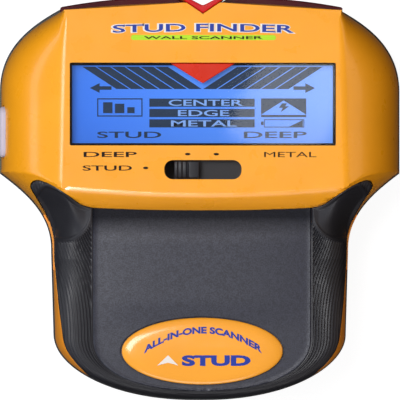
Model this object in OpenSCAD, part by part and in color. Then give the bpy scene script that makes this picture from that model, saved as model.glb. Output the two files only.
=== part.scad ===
// Stud finder lying on its wall face, with the display up and the notch towards +Y.
// The outline, the head and the handle are lofts between half rings. A half ring runs down the right
// side from the notch end to the foot, and whole() mirrors it.

/* [Body] */
// Width across the head
body_w = 82.4; // [82:0.2:84]
// Length from the notch end to the foot
body_l = 82.8; // [82.6:0.2:83.6]
// Height of the display face above the surface that the tool rests on
body_h = 33; // [33:0.5:36]
// Height of the parting line between the two shells
part_z = 13; // [12.8:0.1:13.2]
// Width across the handle
handle_w = 61.2; // [61:0.2:62]
// Height of the grip panel on the handle
grip_z = 28.5; // [28.4:0.1:28.8]
// Wall thickness of the shells
wall = 2; // [1.8:0.1:2]

/* [Notch and light window] */
// Width of the V notch at its mouth
notch_w = 8; // [7:0.5:9]
// Depth of the V notch
notch_depth = 2.1; // [1.8:0.1:2.4]
// How far the light window stands forward of the front shell
window_proud = 1.3; // [1.1:0.1:1.4]

/* [Display] */
// Length of the display opening across the face
lcd_w = 54; // [52:0.5:54]
// Width of the display opening along the tool
lcd_l = 16.8; // [16:0.2:16.8]
// Distance of the opening's middle from the middle of the tool
lcd_y = 19.3; // [19.2:0.1:19.4]
// Depth of the display window under the face
lcd_recess = 1.6; // [1.4:0.1:1.8]

/* [Controls] */
// Length of the slot for the mode switch
slot_w = 15.7; // [15:0.1:16]
// Width of the slot for the mode switch
slot_l = 3.9; // [3.8:0.1:4]
// Travel of the mode switch from its left place to its right place
switch_travel = 5.2; // [4:0.1:5.2]
// Length of the power button along the head's side
button_l = 10.4; // [9:0.2:10.4]
// Half the height of the power button
button_r = 1.6; // [1.3:0.1:1.6]

/* [Battery] */
// Length of the 9 volt battery
battery_w = 48.5; // [48:0.1:48.5]
// Width of the 9 volt battery
battery_l = 26.5; // [26:0.1:26.5]
// Thickness of the 9 volt battery
battery_h = 17.5; // [17:0.1:17.5]
// Width of the battery door
door_w = 51.4; // [51:0.1:51.4]

/* [Hidden] */
half_w = body_w / 2;
half_l = body_l / 2;
handle_half = handle_w / 2;
notch_half = notch_w / 2;
crease_half = 28.2;     // half the width between the two creases of the display face
crease_spread = 0.8;    // how much wider the creases are apart at the lower end
panel_half = 22.2;      // half the width of the grip panel
panel_foot_gap = 2.4;   // from the panel's end to the foot of the tool
pad_h = 0.9;            // glide pads, and so the height of the wall face
floor_top = pad_h + wall;
shell_inset = 0.3;      // the front shell stands this far inside the back shell's outline
edge_r = 1.6;           // rounding of the wall face's edge
gap = 0.2;              // clearance of a sliding plate
snug = 0.05;            // clearance of a piece that is held still
foot_half = 1;          // half of the short flat at the foot
skin = 1.4;             // thickness of the grip panel
handle_wall = 1.5;
grip_low_u = 0.85;      // how far down the handle's side the rubber reaches
grip_steps = [part_z + 4.6, part_z + 10.5, part_z + 12, grip_z - skin - 0.05];
grip_insets = [2.7, 4.1, 6.3];
shell_z = part_z + 0.02;
pcb_z = 14;
pcb_t = 1.6;
pcb_top = pcb_z + pcb_t;
sensor_z = 4.4;
sensor_t = 1.6;
window_z = [10, 24];    // the light window's lowest and highest level
lens_t = 1.2;
lens_z = body_h - lcd_recess - lens_t;
gasket_t = 0.4;
glass_t = 1.8;
light_t = 2.6;
glass_half = [27.1, 8.5];  // half the width and length of the LCD glass
gasket_z = lens_z - gasket_t;
glass_z = gasket_z - glass_t;
light_z = glass_z - light_t;
slot_y = 6;
shutter_t = 1.1;
shutter_z = body_h - wall - 0.6 - shutter_t;
knob_x = -switch_travel / 2;
button_at = [13.8, part_z + 4.6];
button_face = half_w - 0.05;
button_inner = half_w - 4.7;
button_back = half_w - 2.8;  // where the long cap ends and its neck begins
flange_t = 0.8;
tact_y = 16.8;
battery_at = [-24.6, -29.9, 4.4];
screw_at = [[34, 10], [-34, 10], [26, 32.5], [-26, 32.5]];
boss_top = [part_z + 11.4, part_z + 11.4, body_h - wall + 0.2, body_h - wall + 0.2];
pcb_screw_at = [[28, 5.6], [-28, 5.6]];
post_r = 3.2;
pcb_w = 60;
guide_depth = 1.7;      // thickness of the light guide at the notch's apex
badge_y = -30.9;
badge_w = 32.8;
badge_l = 13.6;
knob_half = 1.6;
shutter_end = 13;
tab_y = [-20, -10];     // where the battery door's tabs begin along the tool
tab_l = 5;
tab_top = 4.2;
tab_reach = 1.1;        // how far a tab goes in over the back shell's floor
screw_r = 1.3;          // the shell screws' holes
head_hole_r = 2.8;      // and the holes for their heads
head_seat = 4.4;
terminal_h = 2.6;
terminal_half = 6.35;   // half the distance between the battery's terminals
lead_r = 0.6;
red_route = [[25.4, -9, 19.8], [25.2, -4.6, 21], [22.6, -2.6, 20.4], [12.5, -1.8, 18.6], [11, 2.6, 16.3]];
black_route = [[23.6, -9, 19.8], [23.6, -4.6, 19.75], [22.6, -2.8, 17.4], [11, -1.8, 16.4], [9, 2.6, 16.3]];

// ---- curves and rings ----

function bezier(a, b, c, d, t) =
    a * pow(1 - t, 3) + b * 3 * t * pow(1 - t, 2) + c * 3 * t * t * (1 - t) + d * pow(t, 3);

// Points along a curve, without its last one
function curve(a, b, c, d, n) = [for (i = [0 : n - 1]) bezier(a, b, c, d, i / n)];

function line(a, b, n) = [for (i = [0 : n - 1]) a + (b - a) * i / n];

function mix(a, b, t) = a + (b - a) * t;

function mirrored(p) = [-p.x, p.y];

function whole(half) = concat(half, [for (i = [len(half) - 1 : -1 : 0]) mirrored(half[i])]);

// A half ring moved inwards by d, square to its own run
function inset(half, d) = [
    for (i = [0 : len(half) - 1])
        let (before = i == 0 ? mirrored(half[0]) : half[i - 1])
        let (after = i == len(half) - 1 ? mirrored(half[i]) : half[i + 1])
        let (run = (after - before) / norm(after - before))
        half[i] - d * [-run.y, run.x]
];

// The outline of the whole tool
shoulder = [crease_half + 0.2, half_l - 2.1];
side_top = [half_w, half_l - 19.2];
side_low = [half_w, 5.3];
waist = [handle_half, -10.8];
heel = [handle_half - 0.5, -28.3];
outline = concat(
    curve([notch_half, half_l], [14, half_l], [22, half_l - 0.9], shoulder, 8),
    curve(shoulder, [34, half_l - 5.2], [half_w, half_l - 9.7], side_top, 10),
    line(side_top, side_low, 4),
    curve(side_low, [36, 1.4], [handle_half - 0.2, -3.1], waist, 10),
    line(waist, heel, 4),
    curve(heel, [handle_half - 0.8, -34.3], [19, -half_l], [foot_half, -half_l], 12),
    [[foot_half, -half_l]]
);

// The head's lowest ring, and the edge of its display face with as many points
head_top = half_l - window_proud;
head_shoulder = [crease_half, head_top - 1.5];
head_side = half_w - shell_inset;
head_corner = [head_side, 7.7];
head_low_y = -5.5;
head_base = concat(
    curve([notch_half, head_top], [14, head_top], [21, head_top - 0.5], head_shoulder, 6),
    curve(head_shoulder, [33.6, head_top - 4.1], [head_side, head_top - 8.6], [head_side, 22.2], 8),
    line([head_side, 22.2], head_corner, 4),
    curve(head_corner, [36, 3.5], [26, head_low_y], [foot_half, head_low_y], 10),
    [[foot_half, head_low_y]]
);
crease_low = [crease_half + crease_spread, 2.4];
function crease(y) =
    let (s = (head_shoulder.y - y) / (head_shoulder.y - head_corner.y))
    mix([crease_half, head_shoulder.y - 0.2], crease_low, s);
head_face = concat(
    line([notch_half, head_top - 0.2], [crease_half, head_shoulder.y - 0.2], 6),
    [for (i = [6 : 17]) crease(head_base[i].y)],
    curve(crease_low, [20, 1.6], [10, 0.8], [foot_half, 0.8], 10),
    [[foot_half, 0.8]]
);

// The handle's lowest ring, and the edge of its grip panel with as many points
handle_base = inset([for (i = [23 : len(outline) - 1]) outline[i]], shell_inset);
panel_foot = -half_l + panel_foot_gap;
handle_face = concat(
    [for (i = [0 : 12]) [panel_half, handle_base[i].y]],
    curve([panel_half, heel.y], [panel_half, -35.5], [13, panel_foot], [foot_half, panel_foot], 12),
    [[foot_half, panel_foot]]
);

// [how far out, how high] of a side wall, from its upper edge at u = 0 to the parting line at u = 1
function head_profile(u) = bezier([0, 1], [0.6, 0.83], [1, 0.45], [1, 0], u);
function handle_profile(u) = bezier([0, 1], [0.45, 0.93], [1, 0.75], [1, 0], u);

function ring_between(face, base, out) = [for (i = [0 : len(face) - 1]) mix(face[i], base[i], out)];

// A closed solid through half rings at rising heights
module loft(rings, heights) {
    n = len(rings[0]);
    m = 2 * n;
    top = (len(rings) - 1) * m;
    points = [for (k = [0 : len(rings) - 1]) for (p = whole(rings[k])) [p.x, p.y, heights[k]]];
    sides = [
        for (k = [0 : len(rings) - 2]) for (i = [0 : m - 1])
            let (a = k * m + i, b = k * m + (i + 1) % m)
            each [[a, b, b + m], [a, b + m, a + m]]
    ];
    lower = [for (i = [0 : n - 2]) each [[i, m - 1 - i, m - 2 - i], [i, m - 2 - i, i + 1]]];
    upper = [
        for (i = [0 : n - 2])
            each [
                [top + i, top + i + 1, top + m - 2 - i],
                [top + i, top + m - 2 - i, top + m - 1 - i]
            ]
    ];
    polyhedron(points, concat(sides, lower, upper), convexity = 6);
}

// The head's outer form, from the parting line up
module head_solid(steps = 7) {
    us = [for (k = [steps : -1 : 0]) head_profile(k / steps)];
    rings = [for (u = us) ring_between(head_face, head_base, u[0])];
    loft(rings, [for (u = us) mix(shell_z, body_h, u[1])]);
}

// The handle's outer form, from the rubber's lower edge up
module handle_solid(steps = 7) {
    us = [for (k = [steps : -1 : 0]) handle_profile(grip_low_u * k / steps)];
    rings = [for (u = us) ring_between(handle_face, handle_base, u[0])];
    loft(rings, [for (u = us) mix(part_z, grip_z, u[1])]);
}

// The head and the handle in plan at a share of the way out, moved inwards by d
module head_plan(out, d) {
    offset(delta = -d) polygon(whole(ring_between(head_face, head_base, out)));
}

module handle_plan(d) {
    offset(delta = -d) polygon(whole(handle_base));
}

module block(z0, z1) {
    translate([0, 0, z0]) linear_extrude(z1 - z0) children();
}

// ---- plain shapes ----

module plan(d = 0) {
    offset(delta = -d) polygon(whole(outline));
}

module slab(x0, x1, y0, y1, z0, z1) {
    translate([x0, y0, z0]) cube([x1 - x0, y1 - y0, z1 - z0]);
}

module rod(at, r, z0, z1) {
    translate([at.x, at.y, z0]) cylinder(r = r, h = z1 - z0, $fn = 48);
}

module round_slab(w, l, r) {
    hull() for (x = [-1, 1], y = [-1, 1]) translate([x * (w / 2 - r), y * (l / 2 - r)]) circle(r, $fn = 32);
}

// The notch in plan, moved outwards by grow, and the band of the light guide round it
module notch_plan(grow = 0) {
    polygon([
        [0, half_l - notch_depth - grow],
        [notch_half + 2 * grow, half_l + 0.02 * grow],
        [notch_half + 2 * grow, half_l + 3],
        [-notch_half - 2 * grow, half_l + 3],
        [-notch_half - 2 * grow, half_l + 0.02 * grow]
    ]);
}

module guide_plan(grow = 0) {
    apex_y = half_l - notch_depth - guide_depth - grow;
    arm_x = notch_half + 1.6 + grow;
    polygon([[0, apex_y], [arm_x, half_l], [arm_x, half_l + 3], [-arm_x, half_l + 3], [-arm_x, half_l]]);
}

// ---- shells ----

module wall_face_solid() {
    insets = [edge_r, 0.3 * edge_r, 0, 0];
    heights = [pad_h, pad_h + 0.3 * edge_r, pad_h + edge_r, part_z];
    loft([for (d = insets) inset(outline, d)], heights);
}

module door_opening(grow) {
    slab(-door_w / 2 - grow, door_w / 2 + grow, -half_l - 1, -3.6 + grow, 0, floor_top + 0.02);
}

module back_shell() {
    color([0.09, 0.09, 0.10]) difference() {
        union() {
            difference() {
                wall_face_solid();
                translate([0, 0, floor_top]) linear_extrude(part_z) plan(wall);
            }
            for (at = screw_at) rod(at, post_r, pad_h + 0.1, part_z);
            slab(-27, 27, -3, -1.6, floor_top - 0.5, part_z - 1);
            for (x = [-24, 24], y = [6.5, 27]) rod([x, y], 1.8, floor_top - 0.5, sensor_z);
        }
        for (at = screw_at) {
            rod(at, head_hole_r, 0, head_seat);
            rod(at, screw_r, 0, part_z + 1);
        }
        door_opening(0);
        translate([0, 0, -1]) linear_extrude(part_z + 2) guide_plan(snug);
        translate([0, 0, window_z[0] - snug]) linear_extrude(part_z) arrow_window_plan(snug);
    }
}

// The space inside the head, in steps that follow its slopes
module head_room() {
    block(part_z - 2, part_z + 7) head_plan(0.88, wall);
    block(part_z + 6.9, part_z + 13) head_plan(0.66, wall);
    block(part_z + 12.9, body_h - wall) head_plan(0.26, wall);
}

// The handle under the rubber, in the same way, thinner by d
module handle_core(d, low) {
    block(low, grip_steps[0] - d / 2) handle_plan(d);
    for (i = [0 : 2]) {
        block(i == 0 ? low : grip_steps[i] - d, grip_steps[i + 1] - d) handle_plan(grip_insets[i] + d);
    }
}

module front_shell() {
    color([1, 0.68, 0.16]) difference() {
        union() {
            difference() {
                union() {
                    head_solid();
                    handle_core(0, shell_z);
                }
                head_room();
                handle_core(handle_wall, part_z - 2);
            }
            for (i = [0 : 3]) rod(screw_at[i], post_r, shell_z, boss_top[i]);
            for (at = pcb_screw_at) rod(at, 2.2, pcb_top, body_h - wall + 0.2);
        }
        display_slab(lcd_w / 2, lcd_l / 2, lens_z - 1, body_h + 1);
        block(body_h - 8, body_h + 1) translate([0, slot_y]) round_slab(slot_w, slot_l, 1.8);
        for (at = screw_at) rod(at, screw_r, 0, 22);
        for (at = pcb_screw_at) rod(at, 0.9, 0, 22);
        block(0, body_h + 1) guide_plan(snug);
        block(0, window_z[1] + snug) arrow_window_plan(snug);
        button_bar(0.3, -half_w - 1, -half_w + 3.9);
    }
}

module battery_door() {
    color([0.11, 0.11, 0.12]) {
        intersection() {
            wall_face_solid();
            slab(-door_w / 2 + gap, door_w / 2 - gap, -half_l - 1, -3.6 - gap, pad_h, floor_top - 0.2);
        }
        for (side = [0, 1], y = tab_y) mirror([side, 0, 0]) {
            slab(door_w / 2 - 3, door_w / 2 - gap, y, y + tab_l, floor_top - 0.3, tab_top);
            slab(door_w / 2 - 1, door_w / 2 + tab_reach, y, y + tab_l, floor_top + gap, tab_top);
        }
    }
}

module glide_pads() {
    color([0.55, 0.55, 0.56]) for (side = [-1, 1]) {
        translate([side * 31, 19, 0]) linear_extrude(pad_h) round_slab(4.4, 9, 2);
        translate([side * 27.4, -16, 0]) linear_extrude(pad_h) round_slab(2.4, 16, 1.1);
    }
}

module rear_label() {
    color([0.75, 0.75, 0.74]) translate([0, 17.5, pad_h - 0.3]) linear_extrude(0.3) round_slab(40, 22, 1.5);
}

// ---- light at the notch ----

// The bar round the notch end, with a V behind the light guide that joins its two arms
module arrow_window_plan(grow = 0) {
    difference() {
        intersection() {
            union() {
                difference() {
                    plan(-grow);
                    plan(window_proud + 1.1 + grow);
                }
                polygon([[0, 35.8 - grow], [9 + grow, half_l], [-9 - grow, half_l]]);
            }
            plan(-grow);
            translate([-28.8 - grow, 30]) square([57.6 + 2 * grow, 20]);
        }
        if (grow == 0) guide_plan(snug);
    }
}

module arrow_window() {
    color([0.32, 0.04, 0.03]) translate([0, 0, window_z[0]])
        linear_extrude(window_z[1] - window_z[0]) arrow_window_plan();
}

module notch_light_guide() {
    color([0.85, 0.08, 0.04]) translate([0, 0, pad_h + 0.1])
        linear_extrude(body_h - 0.6 - pad_h) difference() {
            intersection() {
                guide_plan();
                plan();
            }
            notch_plan();
        }
}

module arrow_leds() {
    color([0.9, 0.1, 0.1]) for (x = [-3.2, 3.2]) {
        slab(x - 1.6, x + 1.6, 30.4, 33.4, pcb_top, pcb_top + 2.4);
    }
}

module led_light_pipe() {
    color([0.95, 0.6, 0.6]) slab(-4.6, 4.6, 33.5, 35.4, pcb_top, pcb_top + 3);
}

// ---- display ----

module center_pointer() {
    color([0.82, 0.1, 0.05]) translate([0, lcd_y + lcd_l / 2 - 0.1, body_h - lcd_recess]) linear_extrude(0.7)
        polygon([[-6.6, 0], [6.6, 0], [0, -4.1]]);
}

// A slab centred on the display, of half width x and half length y
module display_slab(x, y, z0, z1) {
    slab(-x, x, lcd_y - y, lcd_y + y, z0, z1);
}

module lcd_window() {
    color([0.6, 0.75, 0.95]) display_slab(lcd_w / 2 - snug, lcd_l / 2 - snug, lens_z, lens_z + lens_t);
}

module lcd_gasket() {
    color([0.1, 0.1, 0.1]) difference() {
        display_slab(glass_half.x, glass_half.y, gasket_z, lens_z);
        display_slab(glass_half.x - 0.6, glass_half.y - 0.6, gasket_z - 1, lens_z + 1);
    }
}

module lcd_glass() {
    color([0.25, 0.5, 0.9]) display_slab(glass_half.x, glass_half.y, glass_z, gasket_z);
}

module lcd_backlight() {
    color([0.92, 0.94, 0.98]) display_slab(glass_half.x - 0.5, glass_half.y - 1.9, light_z, glass_z);
}

module lcd_holder() {
    color([0.85, 0.85, 0.82]) difference() {
        display_slab(glass_half.x + 1.2, glass_half.y + 1, pcb_top, gasket_z);
        display_slab(glass_half.x + snug, glass_half.y + snug, pcb_top - 1, gasket_z + 1);
    }
}

module zebra_strips() {
    color([0.9, 0.55, 0.6]) for (side = [-1, 1]) {
        slab(-24, 24, lcd_y + side * 7.7 - 0.7, lcd_y + side * 7.7 + 0.7, pcb_top, glass_z);
    }
}

// ---- boards ----

module main_pcb() {
    color([0.05, 0.35, 0.15]) difference() {
        union() {
            slab(-pcb_w / 2, pcb_w / 2, 4, 29.2, pcb_z, pcb_top);
            slab(-20, 20, 1.2, 4.1, pcb_z, pcb_top);
            slab(-8, 8, 29, 35.4, pcb_z, pcb_top);
        }
        for (at = pcb_screw_at) rod(at, 1.1, pcb_z - 1, pcb_top + 1);
    }
}

module microcontroller() {
    color([0.08, 0.08, 0.08]) slab(-5, 5, lcd_y - 5, lcd_y + 5, pcb_z - 1.4, pcb_z);
}

module driver_chips() {
    color([0.08, 0.08, 0.08]) {
        slab(-18, -12.5, 21, 26, pcb_z - 1.2, pcb_z);
        slab(-18, -12.5, 11, 15, pcb_z - 1.2, pcb_z);
        slab(10, 14, 3, 7, pcb_z - 1.2, pcb_z);
    }
}

module buzzer() {
    color([0.07, 0.07, 0.07]) difference() {
        rod([21, 21], 6, pcb_z - 5, pcb_z);
        rod([21, 21], 1, pcb_z - 6, pcb_z - 3);
    }
}

module board_connector() {
    color([0.1, 0.1, 0.1]) slab(-28, -25.5, 12, 24, sensor_z + sensor_t, pcb_z);
}

module sensor_board() {
    color([0.1, 0.4, 0.2]) slab(-30, 30, 4, 28.6, sensor_z, sensor_z + sensor_t);
}

module sensor_plates() {
    color([0.8, 0.5, 0.25]) for (x = [-16.5, 0, 16.5]) {
        slab(x - 5, x + 5, 9, 26, sensor_z - 0.3, sensor_z);
    }
}

module metal_coil() {
    color([0.75, 0.4, 0.15]) translate([0, 17, sensor_z + sensor_t]) rotate_extrude($fn = 64)
        translate([9, 0]) square([2.6, 1.8]);
}

// ---- controls ----

module knob_slab(x0, x1, top) {
    slab(knob_x + x0, knob_x + x1, slot_y - knob_half, slot_y + knob_half, shutter_z + shutter_t, top);
}

module slide_switch_knob() {
    color([0.2, 0.2, 0.23]) {
        knob_slab(-3.2, -0.5, body_h - 0.9);
        knob_slab(-0.6, 1.9, body_h);
    }
}

module slide_switch_shutter() {
    color([0.28, 0.28, 0.32])
        slab(knob_x - 3.2, shutter_end, slot_y - 2.5, slot_y + 2.5, shutter_z, shutter_z + shutter_t);
}

module slide_switch_lever() {
    color([0.85, 0.85, 0.85]) slab(knob_x - 1, knob_x + 1, slot_y - 0.8, slot_y + 0.8, 19, shutter_z);
}

module slide_switch_body() {
    color([0.7, 0.7, 0.72]) difference() {
        slab(-8, 8, slot_y - 2.8, slot_y + 2.8, pcb_top, 22);
        slab(-5.6, 5.6, slot_y - 1.2, slot_y + 1.2, 18, 23);
    }
}

// A bar with round ends along the head's left side, from x0 to x1
module button_bar(grow, x0, x1) {
    straight = button_l - 2 * button_r;
    translate([x0, button_at[0], button_at[1]]) {
        for (end = [-1, 1]) translate([0, end * straight / 2, 0]) rotate([0, 90, 0])
            cylinder(r = button_r + grow, h = x1 - x0, $fn = 48);
        translate([0, -straight / 2, -button_r - grow]) cube([x1 - x0, straight, 2 * (button_r + grow)]);
    }
}

// The cap, the neck that goes through the wall, and the flange that holds it in
module power_button() {
    flange_x = -button_inner - flange_t;
    z = button_at[1];
    color([0.72, 0.7, 0.74]) {
        button_bar(0, -button_face, -button_back);
        slab(-button_back - 0.1, flange_x + 0.1, tact_y - 2, tact_y + 2, z - 1.2, z + 1.2);
        slab(flange_x, -button_inner, tact_y - 2.6, tact_y + 3.4, z - 3, z + 2.2);
    }
}

module power_tact_switch() {
    color([0.6, 0.6, 0.62]) {
        slab(-34, -31, tact_y - 3, tact_y + 3, pcb_top, pcb_top + 4);
        slab(-31.2, -29.2, tact_y - 3, tact_y + 3, pcb_top, pcb_top + 1.2);
        translate([-button_inner + 0.8, tact_y, button_at[1]]) rotate([0, 90, 0])
            cylinder(r = 1.2, h = button_inner - 0.8 - 33.5, $fn = 48);
    }
}

// ---- grip ----

module rubber_grip() {
    color([0.10, 0.10, 0.11]) difference() {
        handle_solid();
        for (i = [0 : 2]) {
            block(part_z, grip_steps[i + 1] + snug) handle_plan(grip_insets[i] - snug);
        }
        block(part_z, part_z + 8) head_plan(1, -0.1);
        block(part_z, body_h) head_plan(0.9, -0.1);
        block(part_z, body_h) panel_plan(-0.1);
    }
}

// The grip panel in plan, moved inwards by d
module panel_plan(d) {
    offset(delta = -d) intersection() {
        polygon(whole(handle_face));
        translate([-40, -60]) square([80, 60 - 3.6]);
    }
}

module badge_plan(grow) {
    translate([0, badge_y]) oval(badge_w / 2 + grow, badge_l / 2 + grow);
}

module oval(rx, ry) {
    polygon([for (i = [0 : 71]) [rx * cos(5 * i), ry * sin(5 * i)]]);
}

module grip_panel() {
    color([0.16, 0.16, 0.18]) difference() {
        translate([0, 0, grip_z - skin]) linear_extrude(skin) panel_plan(0);
        translate([0, 0, grip_z - 0.7]) linear_extrude(2) badge_plan(0.1);
    }
}

module badge() {
    color([0.98, 0.62, 0.15]) translate([0, 0, grip_z - 0.7]) linear_extrude(1.5) badge_plan(0);
}

// ---- battery ----

module battery_9v() {
    color([0.15, 0.15, 0.16]) translate(battery_at)
        cube([battery_w - terminal_h, battery_l, battery_h]);
}

// A round along X at one of the battery's two terminals, from x0 on the battery
module terminal(side, r, x0, h) {
    translate(battery_at + [x0, battery_l / 2 + side * terminal_half, battery_h / 2]) rotate([0, 90, 0])
        cylinder(r = r, h = h, $fn = 48);
}

module battery_terminals() {
    color([0.8, 0.8, 0.82]) for (side = [-1, 1]) {
        terminal(side, 2.8, battery_w - terminal_h, terminal_h);
    }
}

module battery_snap() {
    color([0.1, 0.1, 0.1]) difference() {
        translate(battery_at + [battery_w - 2.4, 1.5, 2.8]) cube([4.2, battery_l - 3, battery_h - 5.6]);
        for (side = [-1, 1]) {
            terminal(side, 3, battery_w - 3, 3.2);
        }
    }
}

// One lead: up from the snap, across to the head and down on to the board
module lead(points) {
    for (i = [0 : len(points) - 2]) hull() {
        translate(points[i]) sphere(lead_r, $fn = 12);
        translate(points[i + 1]) sphere(lead_r, $fn = 12);
    }
}

module battery_leads() {
    color([0.7, 0.1, 0.1]) lead(red_route);
    color([0.08, 0.08, 0.08]) lead(black_route);
}

module battery_foam() {
    color([0.2, 0.2, 0.2]) slab(-16, 14, -26, -10, battery_at.z + battery_h, 24.9);
}

// ---- fasteners ----

module shell_screws() {
    color([0.7, 0.7, 0.72]) for (at = screw_at) difference() {
        union() {
            rod(at, head_hole_r - 0.3, head_seat - 2, head_seat);
            rod(at, screw_r - snug, head_seat - 0.1, 21);
        }
        for (size = [[3, 0.7], [0.7, 3]]) {
            translate([at.x, at.y, head_seat - 2.1]) linear_extrude(1.2) square(size, center = true);
        }
    }
}

module pcb_screws() {
    color([0.7, 0.7, 0.72]) for (at = pcb_screw_at) {
        rod(at, 1.9, pcb_z - 1.4, pcb_z);
        rod(at, 0.85, pcb_z - 0.1, 20);
    }
}

back_shell();
front_shell();
battery_door();
glide_pads();
rear_label();
arrow_window();
notch_light_guide();
center_pointer();
lcd_window();
lcd_gasket();
lcd_glass();
lcd_backlight();
lcd_holder();
zebra_strips();
main_pcb();
microcontroller();
driver_chips();
buzzer();
arrow_leds();
led_light_pipe();
board_connector();
sensor_board();
sensor_plates();
metal_coil();
slide_switch_knob();
slide_switch_shutter();
slide_switch_lever();
slide_switch_body();
power_button();
power_tact_switch();
rubber_grip();
grip_panel();
badge();
battery_9v();
battery_terminals();
battery_snap();
battery_leads();
battery_foam();
shell_screws();
pcb_screws();
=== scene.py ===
import math

import bmesh
import bpy
import numpy as np
from mathutils import Matrix, Vector
from mathutils.bvhtree import BVHTree


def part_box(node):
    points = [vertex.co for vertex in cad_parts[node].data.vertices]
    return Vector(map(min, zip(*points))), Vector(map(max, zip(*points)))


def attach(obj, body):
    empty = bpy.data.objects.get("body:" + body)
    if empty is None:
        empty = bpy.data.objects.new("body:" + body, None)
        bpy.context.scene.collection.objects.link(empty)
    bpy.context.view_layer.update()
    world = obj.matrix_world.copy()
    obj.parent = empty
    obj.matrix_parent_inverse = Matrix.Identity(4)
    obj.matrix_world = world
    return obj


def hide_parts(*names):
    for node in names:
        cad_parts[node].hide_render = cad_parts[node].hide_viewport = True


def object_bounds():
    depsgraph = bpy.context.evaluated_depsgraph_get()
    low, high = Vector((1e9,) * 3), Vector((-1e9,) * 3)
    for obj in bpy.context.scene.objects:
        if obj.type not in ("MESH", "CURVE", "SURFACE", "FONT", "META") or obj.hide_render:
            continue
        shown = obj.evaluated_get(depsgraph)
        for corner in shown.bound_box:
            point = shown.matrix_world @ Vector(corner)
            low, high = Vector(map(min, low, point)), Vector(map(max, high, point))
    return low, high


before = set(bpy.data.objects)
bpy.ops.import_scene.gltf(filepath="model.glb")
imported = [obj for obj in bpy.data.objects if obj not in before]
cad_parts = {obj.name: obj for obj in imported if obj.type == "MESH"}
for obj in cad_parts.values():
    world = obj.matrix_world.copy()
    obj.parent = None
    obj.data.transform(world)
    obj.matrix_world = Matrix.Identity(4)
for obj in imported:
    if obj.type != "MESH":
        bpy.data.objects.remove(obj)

CAD_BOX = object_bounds()
MM = 1000.0  # millimetres in a metre: shapes are worked out in millimetres


# ---- places and sizes, from the frame ----

def cad(node):
    """The lowest and highest corner of a CAD node, in millimetres."""
    lo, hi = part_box(node)
    return np.array(lo) * MM, np.array(hi) * MM


HALF_W, HALF_L, TOP_Z = np.array(CAD_BOX[1]) * MM
PART_Z = cad("back_shell")[1][2]
PANEL_LO, PANEL_HI = cad("grip_panel")
PANEL_X = PANEL_HI[0]
GRIP_Z = PANEL_HI[2]
LENS_LO, LENS_HI = cad("lcd_window")
GLASS_LO, GLASS_HI = cad("lcd_glass")
SHUTTER_LO, SHUTTER_HI = cad("slide_switch_shutter")
KNOB_LO, KNOB_HI = cad("slide_switch_knob")
WINDOW_LO, WINDOW_HI = cad("arrow_window")
GUIDE_LO, GUIDE_HI = cad("notch_light_guide")
BADGE_LO, BADGE_HI = cad("badge")
BUTTON_LO, BUTTON_HI = cad("power_button")
LABEL_LO, LABEL_HI = cad("rear_label")
PAD_Z = cad("back_shell")[0][2]
FACE_Z = TOP_Z - 0.03  # the display face, with room for the print under the highest point

WALL = 2.0             # thickness of the moulded walls
SHELL_INSET = 0.3      # the front shell's foot is this far inside the outline
PROUD = 1.3            # the arrow window stands this far forward of the front shell
WINDOW_HALF = 28.85    # half the length of the opening for the arrow window
NOTCH_HALF = 4.0
NOTCH_DEPTH = 2.1
GUIDE_DEPTH = 1.7
SNUG = 0.05            # gap round a piece that sits in an opening
PANEL_TOP_Y = -5.4     # where the panel starts to rise towards the head
GRIP_START_Y = -12.0   # from here to the foot the handle's side has one profile
STEP_Z = 14.2          # the head is cut away above this where the rubber and the panel lie
TALL = 40              # above everything, for the tops of the shapes that cut


# ---- curves and rings ----

def mix(a, b, t):
    return a + (b - a) * t


def smooth(t):
    t = np.clip(t, 0.0, 1.0)
    return t * t * (3 - 2 * t)


def bezier(a, b, c, d, t):
    a, b, c, d = (np.array(p, float) for p in (a, b, c, d))
    return a * (1 - t) ** 3 + b * 3 * t * (1 - t) ** 2 + c * 3 * t * t * (1 - t) + d * t ** 3


def curve(a, b, c, d, n):
    return [bezier(a, b, c, d, i / n) for i in range(n)]


def line(a, b, n):
    a, b = np.array(a, float), np.array(b, float)
    return [mix(a, b, i / n) for i in range(n)]


def mirrored(points):
    return np.array(points) * [-1, 1]


def whole(half):
    """A closed ring from the half down the right side."""
    half = np.array(half)
    return np.vstack([half, mirrored(half[::-1])])


def inset(half, d):
    """A half ring moved inwards by d, square to its own run."""
    half = np.array(half)
    before = np.vstack([mirrored(half[:1]), half[:-1]])
    after = np.vstack([half[1:], mirrored(half[-1:])])
    run = after - before
    run = run / np.linalg.norm(run, axis=1)[:, None]
    return half - d * np.column_stack([-run[:, 1], run[:, 0]])


def through(points, n):
    """A smooth open run through chosen points, n steps between each two."""
    p = [np.array(q, float) for q in points]
    p = [2 * p[0] - p[1]] + p + [2 * p[-1] - p[-2]]
    out = []
    for a, b, c, d in zip(p, p[1:], p[2:], p[3:]):
        for i in range(n):
            t = i / n
            out.append(0.5 * (2 * b + (c - a) * t + (2 * a - 5 * b + 4 * c - d) * t * t
                              + (3 * b - a - 3 * c + d) * t ** 3))
    out.append(p[-2])
    return np.array(out)


def ring3(ring, z):
    ring = np.array(ring)
    return np.column_stack([ring, np.full(len(ring), z)])


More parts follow.
